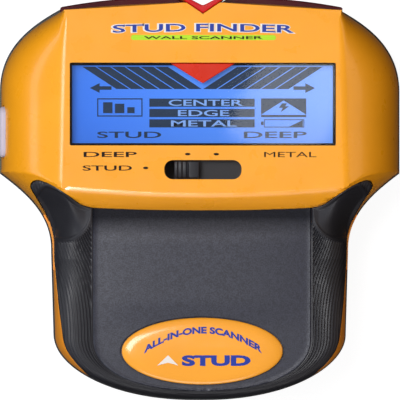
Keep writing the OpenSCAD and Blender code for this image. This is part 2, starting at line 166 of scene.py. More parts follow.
K = 3  # how many times denser than the CAD rings
SHOULDER = (28.4, HALF_L - 2.1)
SIDE_TOP = (HALF_W, HALF_L - 19.2)
SIDE_LOW = (HALF_W, 5.3)
WAIST = (30.6, -10.8)
HEEL = (30.1, -28.3)
FOOT = (1.0, -HALF_L)
LOW_CURVE = (SIDE_LOW, (36, 1.4), (30.4, -3.1), WAIST)
OUTLINE = np.array(
    curve((NOTCH_HALF, HALF_L), (14, HALF_L), (22, HALF_L - 0.9), SHOULDER, 8 * K)
    + curve(SHOULDER, (34, HALF_L - 5.2), (HALF_W, HALF_L - 9.7), SIDE_TOP, 10 * K)
    + line(SIDE_TOP, SIDE_LOW, 4 * K)
    + curve(*LOW_CURVE, 10 * K)
    + line(WAIST, HEEL, 4 * K)
    + curve(HEEL, (29.8, -34.3), (19, -HALF_L), FOOT, 12 * K)
    + [np.array(FOOT)]
)

HEAD_TOP = HALF_L - PROUD
HEAD_SIDE = HALF_W - SHELL_INSET
HEAD_CORNER = (HEAD_SIDE, 7.7)
FLANK_END = 0.7        # how far along the low curve the head's own foot follows the outline
CREASE_TOP = (28.2, HEAD_TOP - 1.7)
CREASE_LOW = (29.0, 2.4)


def low_curve(t):
    """A point just inside the outline between the side and the waist."""
    a = bezier(*LOW_CURVE, t)
    run = bezier(*LOW_CURVE, t + 0.01) - bezier(*LOW_CURVE, t - 0.01)
    run = run / np.linalg.norm(run)
    return a - SHELL_INSET * np.array([-run[1], run[0]])


def head_rings():
    """The head's lowest half ring and the edge of its display face, with as many points."""
    shoulder = (28.2, HEAD_TOP - 1.5)
    base = curve((NOTCH_HALF, HEAD_TOP), (14, HEAD_TOP), (21, HEAD_TOP - 0.5), shoulder, 6 * K)
    base += curve(shoulder, (33.6, HEAD_TOP - 4.1), (HEAD_SIDE, HEAD_TOP - 8.6), (HEAD_SIDE, 22.2), 8 * K)
    base += line((HEAD_SIDE, 22.2), HEAD_CORNER, 4 * K)
    corner = len(base)
    base += line(HEAD_CORNER, (HEAD_SIDE, 5.6), K)
    base += [low_curve(FLANK_END * i / (6 * K)) for i in range(6 * K)]
    end = low_curve(FLANK_END)
    base += curve(end, (29.5, -6.0), (16, -5.5), (1, -5.5), 4 * K)
    base += [np.array([1, -5.5])]
    face = line((NOTCH_HALF, HEAD_TOP - 0.2), CREASE_TOP, 6 * K)
    for p in base[6 * K:corner]:
        s = (shoulder[1] - p[1]) / (shoulder[1] - HEAD_CORNER[1])
        face.append(mix(np.array(CREASE_TOP), np.array(CREASE_LOW), s))
    low = (CREASE_LOW, (20, 1.6), (10, 0.8), (1, 0.8))
    ts = [0.008 * i / K for i in range(K)]
    ts += [0.008 + 0.042 * i / (6 * K) for i in range(6 * K)]
    ts += [0.05 + 0.95 * (i / (4 * K)) ** 1.3 for i in range(4 * K)] + [1.0]
    face += [bezier(*low, t) for t in ts]
    return np.array(base), np.array(face), corner


HEAD_BASE, HEAD_FACE, HEAD_CORNER_AT = head_rings()
FIRST_HANDLE = 23 * K  # the outline's point where the handle's side begins
HANDLE_BASE = inset(OUTLINE[FIRST_HANDLE:], SHELL_INSET)


def head_profile(u):
    """How far out and how high a point of the head's side is, from the face to the parting line."""
    return bezier((0, 1), (0.6, 0.83), (1, 0.45), (1, 0), u)


def handle_profile(u):
    """The same for the handle's side, from the grip panel to the parting line."""
    return bezier((0, 1), (0.45, 0.93), (1, 0.75), (1, 0), u)


# ---- mesh helpers ----

def place(name, data):
    """A new object in the scene with this data."""
    obj = bpy.data.objects.new(name, data)
    bpy.context.scene.collection.objects.link(obj)
    return obj


def make(name, verts, faces):
    """A closed mesh from points in millimetres, with its faces turned outwards."""
    mesh = bpy.data.meshes.new(name)
    mesh.from_pydata([tuple(float(c) / MM for c in v) for v in verts], [], faces)
    mesh.validate()
    bm = bmesh.new()
    bm.from_mesh(mesh)
    bmesh.ops.recalc_face_normals(bm, faces=bm.faces)
    if bm.calc_volume(signed=True) < 0:
        bmesh.ops.reverse_faces(bm, faces=bm.faces)
    bm.to_mesh(mesh)
    bm.free()
    return place(name, mesh)


def loft(name, rings):
    """A closed solid through closed rings of as many points each, from low to high."""
    m = len(rings[0])
    top = (len(rings) - 1) * m
    faces = [(k + i, k + (i + 1) % m, k + m + (i + 1) % m, k + m + i) for k in range(0, top, m) for i in range(m)]
    faces += [tuple(range(m))[::-1], tuple(range(top, top + m))]
    return make(name, np.vstack(rings), faces)


def prism(name, ring, z0, z1):
    return loft(name, [ring3(ring, z0), ring3(ring, z1)])


def box_ring(x0, x1, y0, y1, r=0.0, steps=6):
    """A rectangle in plan with corners of radius r."""
    if r == 0:
        return np.array([(x0, y0), (x1, y0), (x1, y1), (x0, y1)], float)
    out = []
    for cx, cy, a0 in ((x1 - r, y0 + r, -90), (x1 - r, y1 - r, 0), (x0 + r, y1 - r, 90), (x0 + r, y0 + r, 180)):
        for i in range(steps + 1):
            a = math.radians(a0 + 90 * i / steps)
            out.append((cx + r * math.cos(a), cy + r * math.sin(a)))
    return np.array(out)


def ellipse(cx, cy, rx, ry, n=96):
    a = np.linspace(0, 2 * math.pi, n, endpoint=False)
    return np.column_stack([cx + rx * np.cos(a), cy + ry * np.sin(a)])


def bake(obj):
    """Applies the object's modifiers."""
    dg = bpy.context.evaluated_depsgraph_get()
    mesh = bpy.data.meshes.new_from_object(obj.evaluated_get(dg))
    obj.modifiers.clear()
    obj.data = mesh


def combine(obj, others, operation):
    """A Boolean with each of the others in turn, which are then deleted."""
    for other in others:
        mod = obj.modifiers.new("combine", "BOOLEAN")
        mod.operation = operation
        mod.solver = "MANIFOLD"
        mod.object = other
        bpy.context.view_layer.update()
        bake(obj)
        bpy.data.objects.remove(other)


def bevel(obj, width, angle=40, segments=3):
    mod = obj.modifiers.new("bevel", "BEVEL")
    mod.width = width / MM
    mod.segments = segments
    mod.limit_method = "ANGLE"
    mod.angle_limit = math.radians(angle)
    mod.miter_outer = "MITER_ARC"
    bpy.context.view_layer.update()
    bake(obj)


def finish_piece(obj, mat, nodes=(), body="casing", angle=35):
    """Gives a piece its material, shading and body, and hides the CAD nodes that it stands for."""
    obj.data.materials.clear()
    obj.data.materials.append(mat)
    for p in obj.data.polygons:
        p.use_smooth = True
    obj.data.set_sharp_from_angle(angle=math.radians(angle))
    mod = obj.modifiers.new("flat_faces", "WEIGHTED_NORMAL")
    mod.keep_sharp = True
    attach(obj, body)
    if nodes:
        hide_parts(*nodes)
    return obj


# ---- materials ----

def linear(rgb):
    """The scene's linear colour for a colour as it looks on a screen."""
    return tuple((c / 12.92 if c <= 0.04045 else ((c + 0.055) / 1.055) ** 2.4) for c in rgb)


class Shader:
    """A material with one Principled shader and small helpers to wire nodes to it."""

    def __init__(self, name, rgb, rough=0.4, metal=0.0, spec=0.5, coat=0.0):
        self.mat = bpy.data.materials.new(name)
        self.mat.use_nodes = True
        self.tree = self.mat.node_tree
        self.nodes = self.tree.nodes
        self.bsdf = self.nodes["Principled BSDF"]
        self.rgb = linear(rgb)
        values = {"Base Color": (*self.rgb, 1), "Roughness": rough, "Metallic": metal, "Specular IOR Level": spec,
                  "Coat Weight": coat, "Coat Roughness": 0.12}
        for socket, value in values.items():
            self.bsdf.inputs[socket].default_value = value
        self.rough = rough
        self.coord = self.nodes.new("ShaderNodeTexCoord").outputs["Object"]

    def link(self, a, b):
        self.tree.links.new(a, b)

    def noise(self, scale, detail=3.0, rough=0.5):
        n = self.nodes.new("ShaderNodeTexNoise")
        n.inputs["Scale"].default_value = scale
        n.inputs["Detail"].default_value = detail
        n.inputs["Roughness"].default_value = rough
        self.link(self.coord, n.inputs["Vector"])
        return n.outputs["Fac"]

    def ramp(self, fac, stops):
        r = self.nodes.new("ShaderNodeValToRGB")
        els = r.color_ramp.elements
        while len(els) < len(stops):
            els.new(0.5)
        for e, (pos, col) in zip(els, stops):
            e.position = pos
            e.color = (*col, 1)
        self.link(fac, r.inputs["Fac"])
        return r.outputs["Color"]

    def span(self, fac, a, b, c, d):
        """The run from a to b stretched to run from c to d."""
        m = self.nodes.new("ShaderNodeMapRange")
        for name, v in zip(("From Min", "From Max", "To Min", "To Max"), (a, b, c, d)):
            m.inputs[name].default_value = v
        self.link(fac, m.inputs["Value"])
        return m.outputs["Result"]

    def math(self, op, a, b=None):
        m = self.nodes.new("ShaderNodeMath")
        m.operation = op
        for i, v in enumerate((a, b)):
            if v is None:
                continue
            if isinstance(v, (int, float)):
                m.inputs[i].default_value = v
            else:
                self.link(v, m.inputs[i])
        return m.outputs["Value"]

    def scaled(self, colour, fac):
        m = self.nodes.new("ShaderNodeVectorMath")
        m.operation = "SCALE"
        self.link(colour, m.inputs[0])
        self.link(fac, m.inputs["Scale"])
        return m.outputs["Vector"]

    def axis(self, name):
        s = self.nodes.new("ShaderNodeSeparateXYZ")
        self.link(self.coord, s.inputs[0])
        return s.outputs[name]

    def mottle(self, amount=0.06, scale=90.0):
        """Slight light and dark areas in the colour."""
        lo = tuple(c * (1 - amount) for c in self.rgb)
        hi = tuple(min(1.0, c * (1 + amount)) for c in self.rgb)
        self.link(self.ramp(self.noise(scale), [(0.35, lo), (0.65, hi)]), self.bsdf.inputs["Base Color"])
        return self

    def gloss_spread(self, amount):
        """Slightly duller and glossier areas."""
        out = self.span(self.noise(220, 4), 0.3, 0.7, self.rough - amount, self.rough + amount)
        self.link(out, self.bsdf.inputs["Roughness"])
        return self

    def grain(self, scale=1500.0, strength=0.1, distance=0.00005, fac=None):
        b = self.nodes.new("ShaderNodeBump")
        b.inputs["Strength"].default_value = strength
        b.inputs["Distance"].default_value = distance
        self.link(fac or self.noise(scale, 2), b.inputs["Height"])
        self.link(b.outputs["Normal"], self.bsdf.inputs["Normal"])
        return self


def plastic(name, rgb, rough=0.4, spec=0.5, mottle=0.05, grain=0.06, scale=1500.0, coat=0.0, metal=0.0):
    """A plain material with mottled colour, uneven gloss and a fine grain."""
    s = Shader(name, rgb, rough, metal, spec, coat)
    return s.mottle(mottle).gloss_spread(min(0.05, rough / 3)).grain(scale, grain).mat


YELLOW = plastic("yellow_moulding", (0.98, 0.645, 0.10), 0.3, 0.35, 0.025, 0.03, 900, coat=0.35)
YELLOW_INNER = plastic("yellow_handle_moulding", (0.93, 0.58, 0.15), 0.36, 0.4, 0.04, 0.04, 900)
BLACK = plastic("black_moulding", (0.085, 0.085, 0.09), 0.45, 0.5, 0.15, 0.25, 1800)
DOOR = plastic("door_moulding", (0.10, 0.10, 0.105), 0.5, 0.5, 0.12, 0.3, 1500)
RUBBER = plastic("grip_rubber", (0.15, 0.148, 0.165), 0.46, 0.42, 0.08, 0.08, 2600)
SLIDER = plastic("slider_moulding", (0.105, 0.10, 0.12), 0.42, 0.4, 0.06, 0.1)
BUTTON = plastic("button_moulding", (0.74, 0.71, 0.77), 0.4, 0.4, 0.05, 0.1)
WINDOW = plastic("window_red", (0.27, 0.02, 0.045), 0.12, 0.35, 0.15, 0.01, 400, coat=0.2)
GUIDE = plastic("light_guide_red", (0.80, 0.055, 0.075), 0.16, 0.5, 0.10, 0.01, 400, coat=0.4)
POINTER = plastic("pointer_red", (0.82, 0.16, 0.02), 0.3, 0.3, 0.05, 0.01, 500)
INK = plastic("print_blue", (0.12, 0.22, 0.60), 0.5, 0.3, 0.06, 0.02)
WHITE_INK = plastic("print_white", (0.93, 0.90, 0.86), 0.5, 0.3, 0.03, 0.02)
BLACK_INK = plastic("print_black", (0.11, 0.07, 0.03), 0.5, 0.15, 0.1, 0.02)
LIME_INK = plastic("print_lime", (0.70, 0.88, 0.12), 0.5, 0.3, 0.05, 0.02)
SEGMENT = plastic("lcd_segment", (0.155, 0.225, 0.31), 0.6, 0.1, 0.10, 0.0)
LETTER = plastic("lcd_letter", (0.55, 0.70, 0.93), 0.6, 0.1, 0.04, 0.0)
BADGE = plastic("badge_orange", (0.985, 0.655, 0.16), 0.22, 0.5, 0.03, 0.01, 300, coat=0.6)
PAD = plastic("pad_grey", (0.55, 0.55, 0.56), 0.7, 0.3, 0.08, 0.4, 3000)
LABEL = plastic("label_silver", (0.74, 0.74, 0.73), 0.35, 0.5, 0.04, 0.1, 700, metal=0.5)
FOAM = plastic("foam_black", (0.06, 0.06, 0.06), 0.95, 0.1, 0.3, 1.0, 1200)
HOLDER = plastic("holder_white", (0.82, 0.82, 0.80), 0.5, 0.4)
BACKLIGHT = plastic("backlight_white", (0.92, 0.94, 0.97), 0.4, 0.4)
ZEBRA = plastic("zebra_pink", (0.88, 0.55, 0.60), 0.7, 0.3, 0.2, 0.1, 2500)
BOARD = plastic("board_green", (0.05, 0.34, 0.15), 0.35, 0.5, 0.15, 0.15, 700)
CHIP = plastic("chip_black", (0.06, 0.06, 0.065), 0.55, 0.4, 0.15, 0.3, 2500)
LED = plastic("led_red", (0.85, 0.10, 0.08), 0.15, 0.5, 0.05, 0.01)
PIPE = plastic("pipe_clear", (0.94, 0.62, 0.60), 0.1, 0.5, 0.04, 0.01)
COPPER = plastic("copper", (0.80, 0.48, 0.25), 0.3, 0.5, 0.1, 0.1, 900, metal=1.0)
STEEL = plastic("steel", (0.72, 0.72, 0.74), 0.28, 0.5, 0.06, 0.1, 900, metal=1.0)
# steel painted darker to stand for the shade in the mode switch's recess
SHADE_DARKENED_STEEL = plastic("steel_painted_shade", (0.30, 0.29, 0.28), 0.45, 0.5, 0.06, 0.1, 900, metal=0.8)
NYLON = plastic("nylon_white", (0.86, 0.86, 0.85), 0.5, 0.4)
BATTERY = plastic("battery_case", (0.16, 0.16, 0.18), 0.3, 0.5, 0.1, 0.05, 500, metal=0.6)
WIRE = plastic("wire_insulation", (0.62, 0.08, 0.07), 0.4, 0.5, 0.1, 0.02)


def panel_material():
    """Spark-eroded black plastic: fine bright and dark specks over a coarse grain, in a grey whose bluish cast partly
    paints a cool sheen, with painted shade that darkens its colour and gloss under the head's lip.
    """
    # the blue cast in this dark grey partly paints the cool sheen of the light from the left
    s = Shader("panel_spark", (0.178, 0.184, 0.228), 0.44, 0, 0.5)
    fine = s.noise(3600, 2, 0.6)
    coarse = s.noise(900, 2, 0.5)
    both = s.math("ADD", s.math("MULTIPLY", fine, 0.75), s.math("MULTIPLY", coarse, 0.25))
    dark = tuple(c * 0.7 for c in s.rgb)
    light = tuple(c * 1.35 for c in s.rgb)
    # painted shade: colour and specular level fall towards the top edge, standing for the shadow under the yellow lip
    painted_lip_shade = s.span(s.axis("Y"), -0.0075, -0.0036, 1.0, 0.3)
    s.link(s.math("MULTIPLY", painted_lip_shade, 0.5), s.bsdf.inputs["Specular IOR Level"])
    s.link(s.scaled(s.ramp(both, [(0.40, dark), (0.62, light)]), painted_lip_shade), s.bsdf.inputs["Base Color"])
    s.link(s.span(both, 0.35, 0.65, 0.56, 0.42), s.bsdf.inputs["Roughness"])
    s.grain(0, 0.55, 0.00006, fac=both)
    return s.mat


def display_material():
    """The lit blue of the display, made paler towards the right and the top by a painted reflection of glare, with a
    slight glow.
    """
    s = Shader("lcd_blue", (0.3, 0.53, 0.92), 0.5, 0, 0.2)
    # painted reflection: the blue grows paler towards the right and the top, where glare falls on the lens
    x = s.span(s.axis("X"), GLASS_LO[0] / MM, GLASS_HI[0] / MM, 0, 1)
    y = s.span(s.axis("Y"), GLASS_LO[1] / MM, GLASS_HI[1] / MM, -0.08, 0.08)
    cloud = s.span(s.noise(60, 2), 0.3, 0.7, -0.03, 0.03)
    fac = s.math("ADD", s.math("ADD", x, y), cloud)
    stops = [(0.0, linear((0.20, 0.455, 0.875))), (0.5, linear((0.30, 0.54, 0.93))),
             (1.0, linear((0.49, 0.66, 0.97)))]
    col = s.ramp(fac, stops)
    s.link(col, s.bsdf.inputs["Base Color"])
    s.link(col, s.bsdf.inputs["Emission Color"])
    s.bsdf.inputs["Emission Strength"].default_value = 0.17
    return s.mat


def lens_material():
    """Clear acrylic: it lets the display through and only adds its gloss."""
    mat = bpy.data.materials.new("window_clear")
    mat.use_nodes = True
    nodes, links = mat.node_tree.nodes, mat.node_tree.links
    nodes.clear()
    out = nodes.new("ShaderNodeOutputMaterial")
    mixer = nodes.new("ShaderNodeMixShader")
    clear = nodes.new("ShaderNodeBsdfTransparent")
    clear.inputs["Color"].default_value = (0.96, 0.98, 1.0, 1)
    gloss = nodes.new("ShaderNodeBsdfGlossy")
    gloss.inputs["Roughness"].default_value = 0.03
    fresnel = nodes.new("ShaderNodeFresnel")
    fresnel.inputs["IOR"].default_value = 1.49
    coord = nodes.new("ShaderNodeTexCoord")
    smear = nodes.new("ShaderNodeTexNoise")
    smear.inputs["Scale"].default_value = 120
    bump = nodes.new("ShaderNodeBump")
    bump.inputs["Strength"].default_value = 0.02
    bump.inputs["Distance"].default_value = 0.00002
    links.new(coord.outputs["Object"], smear.inputs["Vector"])
    links.new(smear.outputs["Fac"], bump.inputs["Height"])
    links.new(bump.outputs["Normal"], gloss.inputs["Normal"])
    inside = nodes.new("ShaderNodeMath")
    inside.operation = "SUBTRACT"
    inside.use_clamp = True
    links.new(fresnel.outputs["Fac"], inside.inputs[0])
    links.new(nodes.new("ShaderNodeNewGeometry").outputs["Backfacing"], inside.inputs[1])
    links.new(inside.outputs["Value"], mixer.inputs["Fac"])
    links.new(clear.outputs["BSDF"], mixer.inputs[1])
    links.new(gloss.outputs["BSDF"], mixer.inputs[2])
    links.new(mixer.outputs["Shader"], out.inputs["Surface"])
    return mat


PANEL_MAT = panel_material()
DISPLAY = display_material()
LENS = lens_material()


# ---- the head and the handle as surfaces ----

BULGE = 1.4  # how far the ridge over each ear bows towards the notch


def head_half(u, d=0.0):
    """The head's half ring, as points in space, at a share u of the way down its side, d inside its surface."""
    u = np.broadcast_to(u, len(HEAD_FACE))
    out, high = np.array([head_profile(v) for v in u]).T
    half = mix(inset(HEAD_FACE, d), inset(HEAD_BASE, d), out[:, None])
    at = np.arange(len(half)) - HEAD_CORNER_AT
    bow = np.exp(-(at / (3.2 * K)) ** 2) * np.sin(math.pi * np.minimum(1, out)) * BULGE
    return np.column_stack([half[:, 0], half[:, 1] + bow, mix(PART_Z + 0.02, FACE_Z - d, high)])


def both_halves(half):
    return np.vstack([half, half[::-1] * [-1, 1, 1]])


def head_solid(name):
    """The head's outer form, with a rounded edge round the display face."""
    away = HEAD_BASE - HEAD_FACE
    reach = np.linalg.norm(away, axis=1)
    r = np.minimum(0.75, 0.25 * reach)
    u_r = r / (1.8 * reach)
    rings = [both_halves(head_half(u_r + (1 - u_r) * t ** 1.2)) for t in np.linspace(1, 0, 24)]
    drop = FACE_Z - head_half(u_r)[:, 2]
    step = away / reach[:, None] * r[:, None]
    for share in (0.6, 0.3, 0.0, -0.3, -0.6, -1.0):
        z = FACE_Z - drop * (share + 1) ** 2 / 4
        rings.append(both_halves(np.column_stack([HEAD_FACE + share * step, z])))
    return loft(name, rings)


def head_room():
    """The hollow inside the head."""
    rings = [both_halves(head_half(u, WALL)) for u in np.linspace(1, 0, 20)]
    foot = rings[0].copy()
    foot[:, 2] = PART_Z - 1
    return loft("head_room", [foot] + rings)


# Width of the yellow band in plan beside the rubber, over the distance down the handle
BAND_AT = (12.0, 20.8, 29.3, 32.5, 34.9, 36.4, 37.5)
BAND_WIDTH = (0.45, 0.95, 1.75, 1.7, 1.2, 0.3, 0.12)


def handle_face(base):
    """The edge of the grip panel across from each point of the handle's foot ring."""
    n = 12 * K
    side = len(base) - n - 1
    foot = (1.0, PANEL_LO[1])
    heel = (PANEL_X, HEEL[1])
    face = [np.array([PANEL_X, p[1]]) for p in base[:side]]
    face += curve(heel, (PANEL_X, -35.5), (13, foot[1]), foot, n)
    face.append(np.array(foot))
    return np.array(face)


def handle_half():
    """The handle's foot ring and panel edge from the straight part down to the middle of the foot."""
    base = HANDLE_BASE
    face = handle_face(base)
    keep = base[:, 1] < GRIP_START_Y
    first = int(np.argmax(keep))
    base, face = base[first:].copy(), face[first:].copy()
    base[-1][0] = face[-1][0] = 0.0
    return base, face


H_BASE, H_FACE = handle_half()


def side_point(f, b, u):
    """A point of the handle's side between its face f and its foot b, at a share u of the way down."""
    out, high = handle_profile(u)
    return np.array([*mix(f, b, out), mix(PART_Z, GRIP_Z, high)])


DOWN = np.linspace(0, 1, 200)
OUT = [handle_profile(u)[0] for u in DOWN]


def low_edge(f, b):
    """How far down the side the rubber reaches: to the yellow band, and near the parting line at the foot."""
    reach = np.linalg.norm(b - f)
    if reach <= 1:
        return 0.85
    band = np.interp(-b[1], BAND_AT, BAND_WIDTH)
    return min(float(np.interp(1 - max(0.0, band - SHELL_INSET) / reach, OUT, DOWN)), 0.93)


# The black region's edges in plan from the panel's corner round the ear
EAR_TOP = through([(PANEL_X, -1.75), (24.5, -1.1), (26.7, 0.4), (29.0, 1.9), (31.2, 3.15),
                   (33.2, 3.85), (34.4, 3.75), (35.0, 3.0)], 6)
EAR_OUT = through([(35.0, 3.0), (34.75, 1.9), (32.85, -1.25), (31.1, -4.8), (30.15, -8.4)], 10)


def panel_height(x, y):
    """Level of the grip panel: crowned, and rising to the head along its top edge."""
    crown = (0.3 + 0.5 * smooth((y + 27) / 7)) * smooth((-3 - y) / 6) * smooth((y - PANEL_LO[1]) / 8)
    crown = crown * (1 - min(1.0, abs(x / PANEL_X)) ** 3)
    return GRIP_Z + crown + 0.35 * smooth((y - PANEL_TOP_Y) / 3.8) ** 1.3


def levels(obj, points, default):
    """The height of the object's top at each point in plan."""
    data = obj.data
    tree = BVHTree.FromPolygons([v.co * MM for v in data.vertices], [list(p.vertices) for p in data.polygons])
    hits = [tree.ray_cast(Vector((float(x), float(y), 60)), Vector((0, 0, -1)))[0] for x, y in points]
    return [hit.z if hit else default for hit in hits]


NV = 128       # columns of the rubber across its side
N_EAR = 44     # sections of the rubber between the ear and the straight handle
RUBBER_T = 1.3


def run_lengths(points, axis):
    """How far along its run each point lies."""
    steps = np.linalg.norm(np.diff(points, axis=axis), axis=-1)
    return np.insert(np.cumsum(steps, axis=axis), 0, 0, axis=axis)


def resample(points, n):
    """The same run with n + 1 points, evenly spaced."""
    points = np.array(points)
    at = run_lengths(points, 0)
    want = np.linspace(0, at[-1], n + 1)
    return np.column_stack([np.interp(want, at, points[:, k]) for k in range(points.shape[1])])


def rubber_grid(head):
    """Points of the rubber's outer surface for the right half: sections from the ear to the foot."""
    start = resample(EAR_TOP, NV)
    start = np.column_stack([start, levels(head, start, 24.0)])
    start[0, 2] = panel_height(*start[0, :2])
    reach = NV // 6
    padded = np.pad(start[:, 2] - 0.12, reach, mode="reflect", reflect_type="odd")
    window = np.hanning(2 * reach + 1)
    start[:, 2] = np.convolve(padded, window / window.sum(), "valid")
    sides = []
    for f, b in zip(H_FACE, H_BASE):
        u = low_edge(f, b)
        sides.append([side_point(f, b, u * j / NV) for j in range(NV + 1)])
    end = np.array(sides[0])
    share = np.linspace(0, 1, N_EAR + 1)
    outer = resample(np.vstack([EAR_OUT, [end[-1][:2]]]), N_EAR)
    outer = np.column_stack([outer, mix(start[-1][2], end[-1][2], smooth(share / 0.75))])
    top = np.array([(PANEL_X, y, panel_height(PANEL_X, y)) for y in mix(start[0][1], end[0][1], share)])
    s = share[:-1, None, None]
    v = np.linspace(0, 1, NV + 1)[None, :, None]
    corners = (1 - s) * ((1 - v) * start[0] + v * start[-1]) + s * ((1 - v) * end[0] + v * end[-1])
    ear = (1 - v) * top[:-1, None] + v * outer[:-1, None] + (1 - s) * start + s * end - corners
    return np.concatenate([ear, sides])


DIMPLE = np.array([28.5, -2.2])  # middle of the thumb's dimple in plan
DIMPLE_R = 6.0
DIMPLE_DEPTH = 0.75    # of its bowl, below its step
DIMPLE_STEP = 0.28     # at its rim
RIB_PITCH = 0.64       # in plan
RIB_DEPTH = 0.38
STRAIGHT_Y = -32       # below this the ribs run along the panel's edge
STEADY = 23            # this far above it they have their full slant
EDGE_ROUND = 0.22      # how far the rubber's edges drop


def closer_rows(rows):
    """The same surface with rows close enough to carry the slanting ribs."""
    out = [rows[0]]
    for a, b in zip(rows, rows[1:]):
        gap = 0.25 if b[0, 1] > -16 else 0.45
        n = max(1, math.ceil(np.linalg.norm(b - a, axis=1).max() / gap))
        out += [mix(a, b, k / n) for k in range(1, n + 1)]
    return np.array(out)


def finish_rubber(rows):
    """The outer surface with the thumb dimple, the ribs and rounded edges, and the plain inner one."""
    rows = closer_rows(rows)
    normal = np.cross(np.gradient(rows, axis=0), np.gradient(rows, axis=1))
    normal /= np.linalg.norm(normal, axis=2, keepdims=True) + 1e-9
    normal *= np.sign(normal[:, :, 2].sum())
    length = run_lengths(rows, 1)
    left = length[:, -1:] - length
    edge = np.minimum(np.minimum(length, left), run_lengths(rows, 0).mean(1)[:, None] + 0.05)
    drop = EDGE_ROUND * (1 - smooth(edge / 0.4))
    r = np.linalg.norm(rows[:, :, :2] - DIMPLE, axis=2)
    bowl = DIMPLE_STEP + DIMPLE_DEPTH * np.maximum(0, 1 - (r / DIMPLE_R) ** 2)
    bowl *= smooth((DIMPLE_R - r) / 0.35) * smooth(edge / 1.6)
    up = np.maximum(0, rows[:, :1, 1] - STRAIGHT_Y)
    fan = 0.0004 * np.minimum(up, STEADY) ** 3 + 0.63 * np.maximum(0, up - STEADY)
    phase = (run_lengths(rows[:, :, :2], 1) - 0.35 - fan) / RIB_PITCH
    mask = smooth((r - DIMPLE_R - 0.25) / 0.6) * smooth((length - 0.3) / 0.3) * smooth((left - 0.6) / 0.8)
    rib = RIB_DEPTH * 0.5 * (1 + np.cos(2 * math.pi * phase)) * mask
    return rows - normal * (rib + bowl + drop)[:, :, None], rows - normal * RUBBER_T


def both_sides(rows):
    """The right half's rows, then the left half's, from ear to ear."""
    return np.concatenate([rows, rows[-2::-1] * [-1, 1, 1]])


def grid_faces(n, m):
    return [(i * m + j, (i + 1) * m + j, (i + 1) * m + j + 1, i * m + j + 1)
            for i in range(n - 1) for j in range(m - 1)]


def sheet(name, upper, lower, skip=1):
    """A closed sheet between two grids of as many points, of which the lower one keeps every skip-th."""
    n, m = upper.shape[:2]
    keep_i = sorted({*range(0, n, skip), n - 1})
    keep_j = sorted({*range(0, m, skip), m - 1})
    lower = lower[np.ix_(keep_i, keep_j)]
    nl, ml = lower.shape[:2]
    under = n * m
    top = np.arange(n * m).reshape(n, m)
    low = under + np.arange(nl * ml).reshape(nl, ml)
    faces = grid_faces(n, m) + [tuple(under + k for k in f[::-1]) for f in grid_faces(nl, ml)]
    sides = ((top[0], low[0], keep_j), (top[-1], low[-1], keep_j), (top[:, 0], low[:, 0], keep_i),
             (top[:, -1], low[:, -1], keep_i))
    for fine, coarse, keep in sides:
        for k, (a, b) in enumerate(zip(keep, keep[1:])):
            faces.append(tuple(int(v) for v in (*fine[a:b + 1], coarse[k + 1], coarse[k])))
    return make(name, np.vstack([upper.reshape(-1, 3), lower.reshape(-1, 3)]), faces)


def handle_skirt():
    """The yellow moulding under the rubber and beside it, as one closed shell."""
    under = 1.45    # how far its surface lies below the rubber's
    lip = 0.18      # how far its band drops beside the rubber
    n_under, n_band = 16, 12
    sections = []
    for f, b in zip(H_FACE, H_BASE):
        u_edge = low_edge(f, b)
        outward = np.append(b - f, 0) / np.linalg.norm(b - f)
        sec = [np.array([max(0.0, f[0] - 2.0), f[1] + (2.0 if f[0] < 3 else 0), GRIP_Z - under - 0.05])]
        for u in np.linspace(0, u_edge, n_under + 1):
            p = side_point(f, b, u)
            run = side_point(f, b, min(1, u + 0.02)) - p
            run /= np.linalg.norm(run) + 1e-9
            sec.append(p - under * (np.array([0, 0, np.dot(run, outward)]) - outward * run[2]))
        for j, u in enumerate(np.linspace(u_edge + 0.004, 1.0, n_band + 1)):
            sec.append(side_point(f, b, u) - [0, 0, lip * (1 - smooth(j / 2.5))])
        sec.append(np.array([*(b - 1.6 * outward[:2]), PART_Z]))
        for u in (0.8, 0.55, 0.3, 0.1):
            sec.append(side_point(f, b, u_edge * u) - outward * (2.4 + 0.4 * u) - [0, 0, under + 1.6])
        sec.append(sec[0] - [0, 0, 1.5])
        sections.append(sec)
    sections = np.array(sections)
    sections[-1][:, 0] = 0.0
    return loft("handle_moulding", both_sides(sections))


def black_region():
    """The plan of the black parts inside the yellow, from the lip outwards, as a closed ring."""
    lip = [(0.0, -2.35), (8, -2.25), (15, -2.05), (19, -1.9)]
    half = np.vstack([through(lip + [tuple(EAR_TOP[0])], 4)[:-1], EAR_TOP, EAR_OUT[1:],
                      [(30.3, -10), (36, -14), (36, -20), (1, -20)]])
    half[0][0] = 0.5
    return whole(half)


def grown(lo, hi, d, r=0.0, steps=6):
    """The plan of a CAD node's box, d larger all round."""
    return box_ring(lo[0] - d, hi[0] + d, lo[1] - d, hi[1] + d, r, steps)


ARM = NOTCH_HALF + 1.6 + SNUG
GUIDE_RING = np.array([(0, HALF_L - NOTCH_DEPTH - GUIDE_DEPTH - SNUG), (ARM, HALF_L), (ARM, HALF_L + 3),
                       (-ARM, HALF_L + 3), (-ARM, HALF_L)])
WINDOW_RING = box_ring(-WINDOW_HALF, WINDOW_HALF, HALF_L - PROUD - 1.15, HALF_L + 2)
LCD_RING = grown(LENS_LO, LENS_HI, SNUG, 0.35, 4)
SLOT_Y = (SHUTTER_LO[1] + SHUTTER_HI[1]) / 2
CAP_L, CAP_R = 10.4, 1.6  # length and end radius of the power button's cap
CAP_Z = BUTTON_LO[2] + 3
SLOT_RING = box_ring(-7.85, 7.85, SLOT_Y - 1.95, SLOT_Y + 1.95, 1.75, 8)


def cap_rings(places):
    """The cap's outline on the side wall, at pairs of how much it grows and its x."""
    y0 = BUTTON_LO[1]
    rings = []
    for grow, x in places:
        ring = box_ring(y0 - grow, y0 + CAP_L + grow, CAP_Z - CAP_R - grow, CAP_Z + CAP_R + grow,
                        CAP_R + grow - 0.01, 10)
        rings.append(np.column_stack([np.full(len(ring), x), ring]))
    return rings


